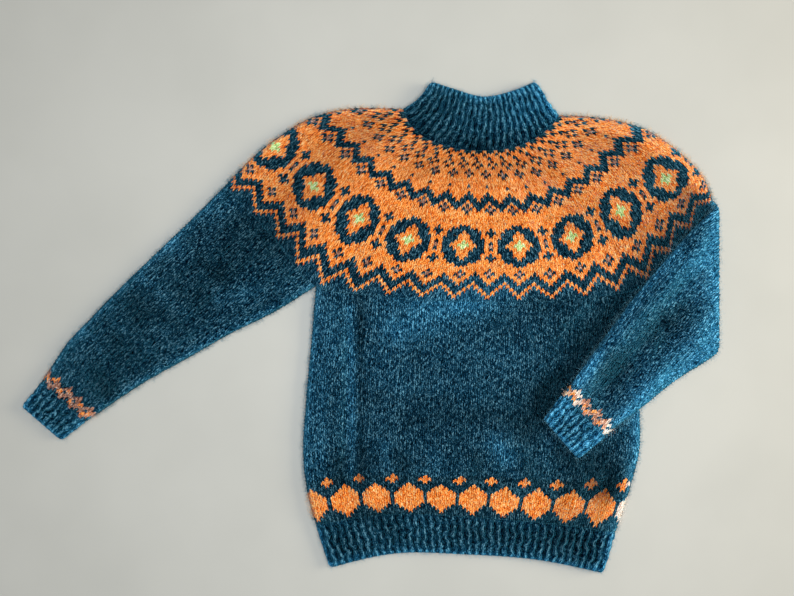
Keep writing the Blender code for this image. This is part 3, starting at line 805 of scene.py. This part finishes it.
def border_chart(chart, rows, shift, white_columns=()):
    """A chart whose last row lies at a tube's lower end, on plain teal, with some columns in white."""

    def yarn(row, column):
        from_top = row - (rows - len(chart))
        if from_top < 0:
            return np.full(column.shape, TEAL)
        line = np.array([LETTERS[letter] for letter in chart[from_top]])
        picked = line[(column + shift) % len(line)]
        return np.where((picked == ORANGE) & np.isin(column, white_columns), WHITE, picked)

    return yarn


def cuff_chart(rows, white_columns):
    """The sleeve's border in two mixed yarns, with some columns of white stitches."""
    border = border_chart(CUFF_CHART, rows, 0, white_columns)

    def yarn(row, column):
        picked = border(row, column)
        # four stitches of five, scattered
        pale = (picked == ORANGE) & ((column * 7 + row * 3) % 5 < 4)
        return np.where(pale, PALE, picked)

    return yarn


def plain_chart(row, column):
    """Teal all over."""
    return np.full(column.shape, TEAL)


# ---- relief
def stocking_relief(v, on_seam, point):
    """Height of points of stocking stitch, on the line between two rows or on a row's middle line."""
    leg = NOTCH if on_seam else CREST
    return np.array((VALLEY, leg, CENTRE, leg))[point % STITCHES_ACROSS]


def rib_relief(v, on_seam, point):
    """Height of points of 1x1 rib, which starts as stocking stitch does."""
    leg = RIB_CREST - (RIB_CREST_DIP if on_seam else 0.0)
    bottom = RIB_VALLEY + (PURL_RIDGE if on_seam else 0.0)
    ribs = np.array((RIB_FLANK, leg, RIB_MIDDLE, leg, RIB_FLANK, bottom, bottom, bottom))
    grown = soft_step(v / RIB_GROWS)
    return grown * ribs[point % (2 * STITCHES_ACROSS)] + (1.0 - grown) * stocking_relief(v, on_seam, point)


def wobble(v, t, length, phase):
    """Shift of the stitches, in metres, which fades out where the piece meets its neighbours."""
    shift = np.zeros(np.shape(v))
    for index, (waves_round, waves_along, size) in enumerate(WOBBLES):
        angle = math.tau * (waves_round * t + waves_along * v)
        shift = shift + size * np.sin(angle + phase + PHASE_STEP * index)
    return shift * soft_step(np.minimum(v, 1.0 - v) * length / WOBBLE_FADES)


# ---- meshes
def bridge(first, second):
    """Triangles between two closed lines of points, given the places of their points round the tube.

    Returns which line each corner is on, 0 or 1, and its number there; a number as large as the line's length
    means its first point again, a whole turn on.
    """
    a_places = list(first) + [first[0] + 1.0]
    b_places = list(second) + [second[0] + 1.0]
    i = 0
    j = 0
    which = []
    numbers = []
    while i < len(first) or j < len(second):
        next_a = a_places[i + 1] if i < len(first) else math.inf
        next_b = b_places[j + 1] if j < len(second) else math.inf
        if next_a <= next_b:
            which.append((0, 1, 0))
            numbers.append((i, j, i + 1))
            i += 1
        else:
            which.append((0, 1, 1))
            numbers.append((i, j, j + 1))
            j += 1
    return np.array(which), np.array(numbers)


def between(first_start, first, second_start, second, inside=False):
    """Corners of the faces between two closed lines: quads if both have as many points, else triangles.

    Returns each corner's point, place round the tube, line, number on the line, and number with whole turns.
    """
    if len(first) == len(second):
        which, step = ((0, 0, 1, 1), (0, 1, 1, 0)) if inside else ((0, 1, 1, 0), (0, 0, 1, 1))
        which = np.tile(which, (len(first), 1))
        whole = np.arange(len(first))[:, None] + step
    else:
        which, whole = bridge(first, second)
    size = np.where(which == 0, len(first), len(second))
    number = whole % size
    points = np.where(which == 0, first_start, second_start) + number
    t = np.where(which == 0, first[number % len(first)], second[number % len(second)]) + whole // size
    return points, t, which, number, whole


def outer_map(tube, t, v):
    """Map places of the outer side: the front layer above the back layer."""
    middle = t.mean(axis=1, keepdims=True)
    t = t - np.floor(middle)
    middle = middle - np.floor(middle)
    front = tube.front_share
    is_front = middle < front
    across = np.where(is_front, t / front, (t - front) / (1.0 - front))
    level = np.where(is_front, FRONT_MAP[0] + FRONT_MAP[1] * v, BACK_MAP[0] + BACK_MAP[1] * v)
    return np.stack((MAP_START + MAP_WIDTH * across, level), axis=-1)


def strip_map(t, v, strip):
    """Map places in a strip below the outer side's."""
    t = t - np.floor(t.mean(axis=1, keepdims=True))
    return np.stack((MAP_START + MAP_WIDTH * t, blend(strip, v)), axis=-1)


def shades(rng, yarn):
    """Colours of stitches: their yarn's colour, each a little lighter or darker."""
    return YARNS[yarn] * (1.0 + SHADE_SPREAD * rng.standard_normal(yarn.shape)).clip(*SHADE_LIMITS)[:, None]


def knit_lines(rows, columns, relief, apex):
    """Lines of points round a tube, two to a row: start, stitches, places round and along, heights."""
    lines = []
    start = 0
    for index in range(2 * rows + 1):
        v = index / (2.0 * rows)
        row = min(index // 2, rows - 1) if index % 2 else max(index // 2 - 1, 0)
        count, t = columns(row, v)
        point = np.arange(len(t))
        lean = np.array((-1.0, 0.0, 1.0, 0.0))[point % STITCHES_ACROSS]
        if relief is rib_relief:
            lean = np.where(point % (2 * STITCHES_ACROSS) > STITCHES_ACROSS, 0.0, lean)
        if index in (0, 2 * rows):
            lean = 0.0 * lean
        lines.append((start, count, t, v + apex * APEX * lean / rows, relief(v, index % 2 == 0, point)))
        start += len(t)
    return lines


def raised_points(tube, t, v, height, rng):
    """Points of the outer side with their stitches raised, the way its fibres stand, its turn and its painted
    light and shade.
    """
    length = tube.length
    width = tube.cut()[0]
    steady = RIB_WOBBLE if tube.rim else 1.0
    moved_t = t + steady * wobble(v, t, length, WOBBLE_PHASES[0]) / width
    moved_v = v + steady * wobble(v, t, length, WOBBLE_PHASES[1]) / length
    inner_lines = (v > 0.0) & (v < 1.0)
    loose = JITTER * rng.standard_normal((3, len(t))) * inner_lines
    moved_t = moved_t + loose[0] / width
    moved_v = np.clip(moved_v + loose[1] / length, 0.0, 1.0)
    along = NORMAL_STEP / length
    round_by = NORMAL_STEP / width
    outer = tube.surface(moved_v, moved_t)
    way_v = tube.surface(np.minimum(moved_v + along, 1.0), moved_t)
    way_v = way_v - tube.surface(np.maximum(moved_v - along, 0.0), moved_t)
    way_t = tube.surface(moved_v, moved_t + round_by) - tube.surface(moved_v, moved_t - round_by)
    normal = unit(np.cross(way_v, way_t))
    # three places on the front layer tell which way round the tube's surface faces
    probe_t = np.array([0.50, 0.52, 0.50]) * tube.front_share
    probe = tube.surface(np.array([0.05, 0.05, 0.06]), probe_t)
    turn = 1 if np.cross(probe[2] - probe[0], probe[1] - probe[0])[2] > 0 else -1
    normal = turn * normal
    outer = outer + normal * (height + loose[2])[:, None]
    left = tube.thickness_left(v)[:, None]
    outer = np.where(left < 1.0, left * outer + (1.0 - left) * tube.surface(v, t, inner=True), outer)
    outer[:, 2] = np.maximum(outer[:, 2], tube.lowest(moved_v, moved_t, outer))
    way_out = normal
    if tube.rim:
        ahead = unit(way_v)
        at_end = soft_step((v - 1.0) * length / RIM_FUZZ + 1.0)[:, None]
        way_out = unit(normal + at_end * (RIM_LEAN * ahead - 0.5 * RIM_LEAN * normal))
    return outer, way_out, turn, tube.painted_shading(moved_v, moved_t, outer)


def knit(name, tube, rows, columns, chart, relief, inner, apex=-1):
    """A closed shell: knitted stitches outside, a plain wall inside.

    inner counts the plain wall's columns and rows, and apex is the way a stitch's legs lean.  Returns the
    shell, and the roots of its fuzz: point, way out and colour of each place where a fibre may start.
    """
    rng = np.random.default_rng(SEED + sum(map(ord, name)))
    lines = knit_lines(rows, columns, relief, apex)
    t, v, height = (np.concatenate([line[part] for line in lines]) for part in (2, 3, 4))
    outer, way_out, turn, painted_shading = raised_points(tube, t, v, height, rng)

    # batches of faces: corners, map places, places on the stitches, colours, and whether they are smooth
    faces = []
    root_numbers = []
    root_colours = []
    for index in range(2 * rows):
        a_start, a_count, a_t, a_v, _ = lines[index]
        b_start, b_count, b_t, b_v, _ = lines[index + 1]
        if index % 2 == 0:
            colours = shades(rng, chart(index // 2, np.arange(b_count)))
            root_numbers.append(b_start + np.arange(len(b_t)))
            root_colours.append(np.repeat(colours, STITCHES_ACROSS, axis=0))
        corners, face_t, which, number, whole = between(a_start, a_t, b_start, b_t)
        face_v = np.where(which == 0, a_v[number % len(a_v)], b_v[number % len(b_v)])
        column = np.where(which == 0, whole * b_count / a_count, whole) / STITCHES_ACROSS
        places = np.stack((column, 0.5 * which + 0.5 * index), axis=-1)
        stitch = np.where(which == 1, whole, len(b_t)).min(axis=1) // STITCHES_ACROSS
        picked = colours[np.minimum(stitch, b_count - 1)]
        faces.append((corners, outer_map(tube, face_t, face_v), places, picked, True))

    inner_columns, inner_rows = inner
    inner_t = np.arange(inner_columns) / inner_columns + lines[0][2][0]
    grid_v, grid_t = np.meshgrid(np.linspace(0.0, 1.0, inner_rows + 1), inner_t, indexing="ij")
    inner_points = tube.surface(grid_v.ravel(), grid_t.ravel(), inner=True)
    row_start = len(outer) + inner_columns * np.arange(inner_rows + 1)
    inside = np.tile(YARNS[TEAL], (inner_columns, 1))
    for row in range(inner_rows):
        first, second = row_start[row:row + 2]
        corners, face_t, which, _, _ = between(first, inner_t, second, inner_t, inside=True)
        maps = strip_map(face_t, which / inner_rows + row / inner_rows, INNER_MAP)
        faces.append((corners, maps, maps * INNER_STITCHES, inside, True))
    for at_end, strip in ((False, START_MAP), (True, END_MAP)):
        start, count, line_t, _, _ = lines[-1 if at_end else 0]
        corners, face_t, which, number, _ = between(start, line_t, row_start[-1 if at_end else 0], inner_t)
        maps = strip_map(face_t, 1.0 - which, strip)
        stitch = np.where(which == 0, number, len(line_t)).min(axis=1) // STITCHES_ACROSS
        if not at_end:
            corners = corners[:, ::-1]
            maps = maps[:, ::-1]
        yarn = chart(rows - 1 if at_end else 0, np.arange(count))
        picked = YARNS[yarn[np.minimum(stitch, count - 1)]]
        faces.append((corners, maps, maps * INNER_STITCHES, picked, at_end and tube.rim > 0.0))

    points = np.concatenate((outer, inner_points))
    plain = np.ones(len(inner_points))
    values = {"hollow": np.concatenate((hollow_of(height), plain)), "painted_shading": np.concatenate((painted_shading, plain))}
    shell = shell_object(name, points, faces, values, way=-1 if turn < 0 else 1)
    numbers = np.concatenate(root_numbers)
    colours = np.concatenate(root_colours)
    # the fuzz's roots take on the painted light and shade as well
    factor = painted_shading[numbers][:, None]
    colours = colours * np.minimum(factor, 1.0 + (factor - 1.0) * (1.0 - colours[:, :1]))
    return shell, (outer[numbers], way_out[numbers], colours)


def fuzz(name, roots, count):
    """Loose fibres: thin closed spindles, bent once, that stand off the cloth."""
    rng = np.random.default_rng(SEED + sum(map(ord, name)))

    def varied(low, high):
        return rng.uniform(low, high, (count, 1))

    points, normals, colours = roots
    shown = np.flatnonzero(normals[:, 2] > FUZZ_FACING)
    faces_sideways = soft_step((SIDEWAYS_FROM - normals[:, 2:]) / SIDEWAYS_RUN)
    density = 1.0 + FUZZ_AT_EDGE * faces_sideways[shown, 0]
    picked = rng.choice(shown, count, p=density / density.sum())
    normal = normals[picked]
    sideways = faces_sideways[picked]
    across = unit(np.cross(normal, rng.standard_normal((count, 3))))
    side = np.cross(normal, across)
    length = FUZZ_LENGTH * np.exp(FUZZ_VARIES * rng.standard_normal((count, 1)))
    lift = varied(*FUZZ_LIFTS) + FUZZ_STANDS * sideways
    bend = varied(*FUZZ_BENDS)
    radius = FUZZ_RADIUS * varied(*FUZZ_THICKNESS)
    start = points[picked] + STITCH_HALF * (across * varied(-1, 1)) - FUZZ_DEPTH * normal
    middle = start + length * (0.5 * across + 0.5 * lift * normal)
    across = across * (1.0 - 0.6 * sideways)
    end = start + length * (0.9 * across + bend * side + varied(*FUZZ_TIPS) * lift * normal)
    thirds = (0.0, math.tau / 3.0, 2.0 * math.tau / 3.0)
    ring = [middle + radius * (math.cos(angle) * side + math.sin(angle) * normal) for angle in thirds]
    spots = np.stack([start, end, *ring], axis=1)
    spots[:, :, 2] = np.maximum(spots[:, :, 2], FUZZ_RADIUS)
    corners = SPINDLE_SIDES[None] + 5 * np.arange(count)[:, None, None]
    # painted light: fibres where the cloth faces sideways are lighter, a painted halo along the edges
    edge_lit_colours = colours[picked] ** (1.0 - 0.35 * sideways)
    each = np.repeat(edge_lit_colours * varied(*FUZZ_SHADES), 5, axis=0)
    return new_object(name, spots, corners.ravel(), np.arange(0, corners.size, 3), each, "POINT")


def hollow_of(height):
    """How deep a point lies between legs, from 0 on a crest to 1 in a valley."""
    low, high = height.min(), height.max()
    return (high - height) / (high - low)


def floats(values):
    """Numbers in the form that Blender's arrays take."""
    return values.astype(np.float32).ravel()


def new_object(name, points, corners, starts, colours, domain):
    """A mesh object, from its corners in a row, where each face starts among them, and yarn colours."""
    data = bpy.data.meshes.new(name)
    data.vertices.add(points.size // 3)
    data.vertices.foreach_set("co", floats(points))
    data.loops.add(len(corners))
    data.loops.foreach_set("vertex_index", corners.astype(np.int32))
    data.polygons.add(len(starts))
    data.polygons.foreach_set("loop_start", starts.astype(np.int32))
    data.update(calc_edges=True)
    opaque = np.column_stack((colours, np.ones(len(colours))))
    data.color_attributes.new("yarn", "FLOAT_COLOR", domain).data.foreach_set("color", floats(opaque))
    made = bpy.data.objects.new(name, data)
    bpy.context.scene.collection.objects.link(made)
    return made


def shell_object(name, points, faces, values, way):
    """An object from gathered faces, whose corners are taken backwards where way is -1."""
    sizes = np.concatenate([np.full(len(part[0]), part[0].shape[1]) for part in faces])
    corners = np.concatenate([part[0][:, ::way].ravel() for part in faces])
    colours = np.repeat(np.concatenate([part[3] for part in faces]), sizes, axis=0)
    made = new_object(name, points, corners, np.cumsum(sizes) - sizes, colours, "CORNER")
    data = made.data
    smooth = np.concatenate([np.full(len(part[0]), part[4]) for part in faces])
    data.polygons.foreach_set("use_smooth", smooth)
    for map_name, column in (("OFBake", 1), ("stitch", 2)):
        places = np.concatenate([part[column][:, ::way].reshape(-1, 2) for part in faces])
        data.uv_layers.new(name=map_name).uv.foreach_set("vector", floats(places))
    for key, value in values.items():
        data.attributes.new(key, "FLOAT", "POINT").data.foreach_set("value", floats(value))
    return made


# ---- materials
def set_inputs(made, **values):
    """Set or link a node's inputs by their names, whose blanks are underscores here."""
    for key, value in values.items():
        socket = made.inputs[key.replace("_", " ")]
        if isinstance(value, bpy.types.NodeSocket):
            made.id_data.links.new(value, socket)
        else:
            socket.default_value = value


def node(tree, kind, **values):
    """A node with its properties and its inputs set."""
    made = tree.nodes.new(kind)
    for key, value in values.items():
        if hasattr(made, key) and key not in made.inputs:
            setattr(made, key, value)
        else:
            set_inputs(made, **{key: value})
    return made


class Value:
    """A number in a shader: arithmetic on it adds Math nodes."""

    def __init__(self, socket):
        self.socket = socket
        self.tree = socket.id_data

    def maths(self, operation, other=0.0, swapped=False):
        """A Math node's result; the other operand is a Value or a number, and comes first when swapped."""
        made = node(self.tree, "ShaderNodeMath", operation=operation)
        operands = (other, self) if swapped else (self, other)
        for socket, operand in zip(made.inputs, operands):
            if isinstance(operand, Value):
                self.tree.links.new(operand.socket, socket)
            else:
                socket.default_value = operand
        return Value(made.outputs[0])

    __add__ = functools.partialmethod(maths, "ADD")
    __sub__ = functools.partialmethod(maths, "SUBTRACT")
    __rsub__ = functools.partialmethod(maths, "SUBTRACT", swapped=True)
    __mul__ = functools.partialmethod(maths, "MULTIPLY")
    __pow__ = functools.partialmethod(maths, "POWER")

    def spread(self, low, high, new_low, new_high):
        """The value mapped from one range to another, and kept within it."""
        made = node(self.tree, "ShaderNodeMapRange", Value=self.socket, From_Min=low, From_Max=high,
                    To_Min=new_low, To_Max=new_high)
        return Value(made.outputs["Result"])


def new_material(name):
    """A material, its node tree and its shader."""
    material = bpy.data.materials.new(name)
    material.use_nodes = True
    return material, material.node_tree, material.node_tree.nodes["Principled BSDF"]


def wool_material(name, look):
    """Heathered wool drawn leg by leg, with painted shade in its gaps: the deeper a place, the higher the
    power of the yarn's colour.

    look gives how much each of these changes the tone: the leg's roundness and the dip where the next stitch
    covers it, both painted shade between legs and rows, chance from leg to leg, painted side light on one of
    the two legs, strands, fibres, clouds, and depth, which is painted shade.
    """
    leg_tone, row_dip, leg_chance, side_light_tone, strand_tone, fibre_tone, cloud_tone, hollow_tone = look
    material, tree, shader = new_material(name)
    place = node(tree, "ShaderNodeTexCoord").outputs["Object"]
    yarn = node(tree, "ShaderNodeAttribute", attribute_name="yarn").outputs["Color"]
    hollow = Value(node(tree, "ShaderNodeAttribute", attribute_name="hollow").outputs["Fac"])
    painted_shading = Value(node(tree, "ShaderNodeAttribute", attribute_name="painted_shading").outputs["Fac"])

    def noise(vector, scale, detail):
        return node(tree, "ShaderNodeTexNoise", Vector=vector, Scale=scale, Detail=detail).outputs

    # where a place lies on its stitch, a little uneven
    stitch = node(tree, "ShaderNodeUVMap", uv_map="stitch").outputs["UV"]
    uneven = node(tree, "ShaderNodeVectorMath", operation="MULTIPLY_ADD")
    tree.links.new(noise(place, 560.0, 1.0)["Color"], uneven.inputs[0])
    uneven.inputs[1].default_value = (0.45, 1.10, 0.0)
    tree.links.new(stitch, uneven.inputs[2])
    parts = node(tree, "ShaderNodeSeparateXYZ", Vector=uneven.outputs["Vector"])
    legs = Value(parts.outputs["X"]) * 2.0
    rows = Value(parts.outputs["Y"])
    leg_number = legs.maths("FLOOR")
    off_leg = (legs.maths("FRACT") - 0.5).maths("ABSOLUTE")
    off_row = (rows.maths("FRACT") - 0.5).maths("ABSOLUTE")
    roundness = 1.0 - (off_leg * 2.0) ** 2.5
    ends = 1.0 - (off_row * 2.0) ** 4.0
    fullness = roundness * ends.spread(0.0, 1.0, 1.0 - row_dip, 1.0)

    # each leg a little lighter or darker, and streaked along its strands
    cell = node(tree, "ShaderNodeCombineXYZ", X=leg_number.socket, Y=rows.maths("FLOOR").socket)
    chance = node(tree, "ShaderNodeTexWhiteNoise", noise_dimensions="2D", Vector=cell.outputs["Vector"])
    streak = node(tree, "ShaderNodeMapping", Vector=stitch, Scale=(5.6, 0.8, 1.0), Rotation=(0.0, 0.0, 0.35))
    strands = Value(noise(streak.outputs["Vector"], 1.0, 2.0)["Fac"])
    fibre = Value(noise(place, 760.0, 1.0)["Fac"])
    cloud = Value(noise(place, 24.0, 3.0)["Fac"])
    # painted side light: every second leg lighter, as if lit from one side
    side_lit_leg = (leg_number * 0.5).maths("FRACT")

    # painted shade between legs and rows, painted light on the legs' crests
    tone = (fullness - 0.2) * leg_tone
    # columns: value, its range, how much it changes the tone
    changes = (
        (Value(chance.outputs["Value"]), 0.0, 1.0, leg_chance),
        (side_lit_leg, 0.0, 0.5, side_light_tone),
        (strands, 0.28, 0.72, strand_tone),
        (fibre, 0.28, 0.72, fibre_tone),
        (cloud, 0.3, 0.7, cloud_tone),
        (hollow, 0.0, 1.0, -hollow_tone),
    )
    for value, low, high, most in changes:
        tone = tone + value.spread(low, high, -most, most)

    # where painted light is strong the tone differs less
    calm = (painted_shading ** -0.35).maths("MINIMUM", 1.0)
    power = (tone.spread(-0.20, 0.90, 2.1, 0.50) - 1.0) * calm + 1.0
    deepen = node(tree, "ShaderNodeGamma", Color=yarn, Gamma=power.socket)
    # painted shade: the deepest places darkened further, as shadow among the yarns
    painted_gap_shade = tone.spread(-0.25, 0.12, 0.35, 1.0)
    # the redder a yarn, the less the painted light lightens it
    channels = node(tree, "ShaderNodeSeparateColor", Color=yarn)
    gain = (painted_shading - 1.0) * (1.0 - Value(channels.outputs["Red"]))
    # painted light and shade, and painted shade in the deepest gaps, scale the colour
    lightness = painted_shading.maths("MINIMUM", gain + 1.0) * painted_gap_shade
    shaded_colour = node(tree, "ShaderNodeVectorMath", operation="SCALE", Scale=lightness.socket)
    tree.links.new(deepen.outputs["Color"], shaded_colour.inputs[0])
    capped = node(tree, "ShaderNodeVectorMath", operation="MINIMUM")
    tree.links.new(shaded_colour.outputs["Vector"], capped.inputs[0])
    capped.inputs[1].default_value = (0.97, 0.97, 0.97)

    raised = fullness + strands * 0.6 + fibre * 0.5
    bump = node(tree, "ShaderNodeBump", Height=raised.socket, Strength=0.9, Distance=0.0011)
    set_inputs(shader, Base_Color=capped.outputs["Vector"], Normal=bump.outputs["Normal"], Roughness=0.95,
               Specular_IOR_Level=0.0, Sheen_Weight=0.30, Sheen_Roughness=0.35, Sheen_Tint=(*SHEEN_TINT, 1.0))
    return material


def fuzz_material():
    """Thin fibres, lighter than the yarn that they come from."""
    material, tree, shader = new_material("wool_fuzz")
    yarn = node(tree, "ShaderNodeAttribute", attribute_name="yarn").outputs["Color"]
    lighten = node(tree, "ShaderNodeGamma", Color=yarn, Gamma=0.78)
    set_inputs(shader, Base_Color=lighten.outputs["Color"], Roughness=0.80, Specular_IOR_Level=0.05,
               Sheen_Weight=0.15, Sheen_Tint=(*SHEEN_TINT, 1.0))
    return material


def floor_material():
    """Pale, slightly uneven matt board."""
    material, tree, shader = new_material("floor_board")
    place = node(tree, "ShaderNodeTexCoord").outputs["Object"]
    made = node(tree, "ShaderNodeTexNoise", Vector=place, Scale=6.0, Detail=3.0)
    ramp = node(tree, "ShaderNodeValToRGB", Fac=made.outputs["Fac"])
    stops = ((0.35, (0.417, 0.413, 0.388, 1.0)), (0.65, (0.446, 0.441, 0.415, 1.0)))
    for element, (position, colour) in zip(ramp.color_ramp.elements, stops):
        element.position = position
        element.color = colour
    set_inputs(shader, Base_Color=ramp.outputs["Color"], Roughness=0.55, Specular_IOR_Level=0.3)
    return material


# ---- the garment
def with_top(height):
    """A tube's top that is the same for every place along it."""
    return lambda x, y, inset, v: height(x, y, inset)


def rib_top(rest, start_top):
    """Top of a ribbed piece: it starts at its neighbour's height and settles to the rib's own."""
    return lambda x, y, inset, v: (
        blend((rest + RIB_TOP, start_top(x, y, inset)), 1.0 - soft_step(v / RIB_SETTLES)))


def collar_top(x, y, inset, v):
    """Top of the collar, which stands fuller than the yoke."""
    return blend((COLLAR_BASE_TOP, COLLAR_TOP), soft_step(v / COLLAR_RISES)) + 0.5 * ripples(x, y)


def sleeve_rings(start, rings):
    """Rings of the sleeve that lies straight out, from the underside's fold to the fold along the top."""
    return [start[::-1]] + [straight(ends[::-1]) for ends in rings]


def unfolded(point):
    """Where a point of the folded-over stretch lies before the sleeve is folded."""
    return 2.0 * FOLD_AXIS_X + ROLL_LENGTH - point[0], point[1]


def unfolded_rings(start):
    """Rings of the folded sleeve before it is folded, square to its run."""
    top_edge = [tuple(start[-1])] + [unfolded(ring[0]) for ring in (FOLD_END, *FLAP_RINGS)]
    under_edge = [tuple(start[0]), FOLD_START[1]] + [unfolded(ring[1]) for ring in (FOLD_END, *FLAP_RINGS)]
    shares = np.linspace(0.0, 1.0, UNFOLDED_RINGS)
    bow = start - straight((start[0], start[-1]))
    rings = []
    for share, under, top in zip(shares, curve(under_edge, UNFOLDED_RINGS), curve(top_edge, UNFOLDED_RINGS)):
        rings.append(straight((under, top)) + bow * (1.0 - soft_step(share / BOW_FADES)))
    return rings


def dress(made, wool, tube, node_name):
    """Give a knitted shell its wool, fuzz for the area of its cloth, and its place in the frame, and hide its
    solid.
    """
    piece, roots = made
    piece.data.materials.append(wool[0])
    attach(piece, "root")
    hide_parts(node_name)
    width, length, area = tube.cut()
    loose = fuzz(node_name + "_fuzz", roots, int(FUZZ_PER_AREA * area))
    loose.data.materials.append(wool[1])
    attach(loose, "root")


def build_garment():
    """All the knitted pieces."""
    wool = wool_material("knit_wool", STOCKING_LOOK), fuzz_material()
    rib_wool = wool_material("rib_wool", RIB_LOOK), wool[1]

    def plain(node_name, tube, rows, columns, chart, inner, slot="teal_knit", held="laid", under=("floor",)):
        made = knit(node_name + "_knit", tube, rows, columns, chart, stocking_relief, inner)
        dress(made, wool, tube, node_name)

    def ribbed(node_name, tube, rows, stitches, inner, apex=-1, under=("floor",)):
        columns = ribbed_columns(stitches)
        made = knit(node_name + "_knit", tube, rows, columns, plain_chart, rib_relief, inner, apex)
        dress(made, rib_wool, tube, node_name)

    yoke_rings = [curve(ring) for ring in YOKE_RINGS]
    neck, base = yoke_rings[0], yoke_rings[-1]
    left = share_at(YOKE_RINGS[-1], LEFT_UNDERARM)
    right = share_at(YOKE_RINGS[-1], RIGHT_UNDERARM)
    on_ground = with_top(lying_top)
    rows = sum(len(chart) for _, chart in YOKE_CHARTS)
    tube = Tube(yoke_rings, on_ground, marks=YOKE_MARKS, front_share=YOKE_FRONT, painted_shading_share=YOKE_PAINTED_SHADING)
    plain("yoke", tube, rows, yoke_columns, yoke_chart, (96, 10), "pattern_knit")

    body_rings = [evenly(base, first=left, last=right)] + [curve(ring) for ring in BODY_RINGS]
    chart = border_chart(HEM_CHART, BODY_ROWS, HEM_SHIFT, HEM_WHITES)
    plain("body", Tube(body_rings, on_ground), BODY_ROWS, even_columns(BODY_STITCHES), chart, (80, 12))
    rings = [body_rings[-1]] + [curve(ring) for ring in HEM_RINGS]
    tube = Tube(rings, rib_top(0.0, lying_top), rim=RIM_DEPTH)
    ribbed("hem_rib", tube, HEM_ROWS, BODY_STITCHES, (80, 3))
    rings = [neck] + [curve(ring) for ring in COLLAR_RINGS]
    tube = Tube(rings, collar_top, wall=COLLAR_WALL, rim=COLLAR_RIM_DEPTH)
    ribbed("collar", tube, COLLAR_ROWS, COLLAR_STITCHES, (96, 6), apex=1)

    tube = Tube(sleeve_rings(evenly(base, last=left), LEFT_SLEEVE_RINGS), on_ground)
    chart = cuff_chart(LEFT_SLEEVE_ROWS, ())
    plain("sleeve_left", tube, LEFT_SLEEVE_ROWS, sleeve_columns(LEFT_SLEEVE_ROWS), chart, (48, 14))
    ends = [straight(pair[::-1]) for pair in (LEFT_SLEEVE_RINGS[-1], LEFT_CUFF_END)]
    ribbed("cuff_left", Tube(ends, rib_top(0.0, lying_top), rim=RIM_DEPTH), CUFF_ROWS, CUFF_STITCHES, (36, 3))

    tube = FoldedTube(unfolded_rings(evenly(base, first=right)), on_ground)
    chart = cuff_chart(RIGHT_SLEEVE_ROWS, CUFF_WHITES)
    plain("sleeve_right", tube, RIGHT_SLEEVE_ROWS, sleeve_columns(RIGHT_SLEEVE_ROWS), chart, (48, 30),
          held="folded", under=("body_knit", "yoke_knit"))
    ends = [straight(pair[::-1]) for pair in (FLAP_RINGS[-1], RIGHT_CUFF_END)]
    tube = Tube(ends, rib_top(FLAP_REST, flap_top), rest=FLAP_REST + FLAP_CLEARANCE, rim=RIM_DEPTH)
    ribbed("cuff_right", tube, CUFF_ROWS, CUFF_STITCHES, (36, 3), under=("body_knit",))


# ---- floor, light and camera
def build_stage():
    """A pale floor, window light from the right, light from above and a weak one all round."""
    bpy.ops.mesh.primitive_plane_add(size=FLOOR_SIZE, location=(0.0, 0.0, -FLOOR_DEPTH))
    floor = bpy.context.object
    floor.name = "floor"
    floor.data.materials.append(floor_material())
    for name, location, target, size, power, colour in LIGHTS:
        data = bpy.data.lights.new(name, "AREA")
        data.shape = "RECTANGLE"
        data.size, data.size_y = size
        data.energy = power
        data.color = colour
        lamp = bpy.data.objects.new(name, data)
        bpy.context.scene.collection.objects.link(lamp)
        lamp.location = location
        way = np.subtract(target, location)
        tilt = math.atan2(math.hypot(way[0], way[1]), -way[2])
        lamp.rotation_euler = (tilt, 0.0, math.atan2(way[1], way[0]) - math.pi / 2)
    world = bpy.data.worlds.new("room_light")
    bpy.context.scene.world = world
    world.use_nodes = True
    set_inputs(world.node_tree.nodes["Background"], Color=(0.96, 0.99, 1.0, 1.0), Strength=0.26)


def build_camera():
    """A camera straight above, framed as the garment was seen."""
    data = bpy.data.cameras.new("camera")
    data.sensor_width = VIEW_SENSOR
    data.lens = CAMERA_LENS
    data.clip_start = 0.05
    camera = bpy.data.objects.new("camera", data)
    bpy.context.scene.collection.objects.link(camera)
    distance = VIEW_WIDTH * CAMERA_LENS / data.sensor_width
    camera.location = (VIEW_CENTRE[0], VIEW_CENTRE[1], VIEW_HEIGHT + distance)
    bpy.context.scene.camera = camera


build_camera()
build_garment()
build_stage()
bpy.context.scene.view_settings.view_transform = "Standard"
bpy.context.scene.view_settings.look = "None"
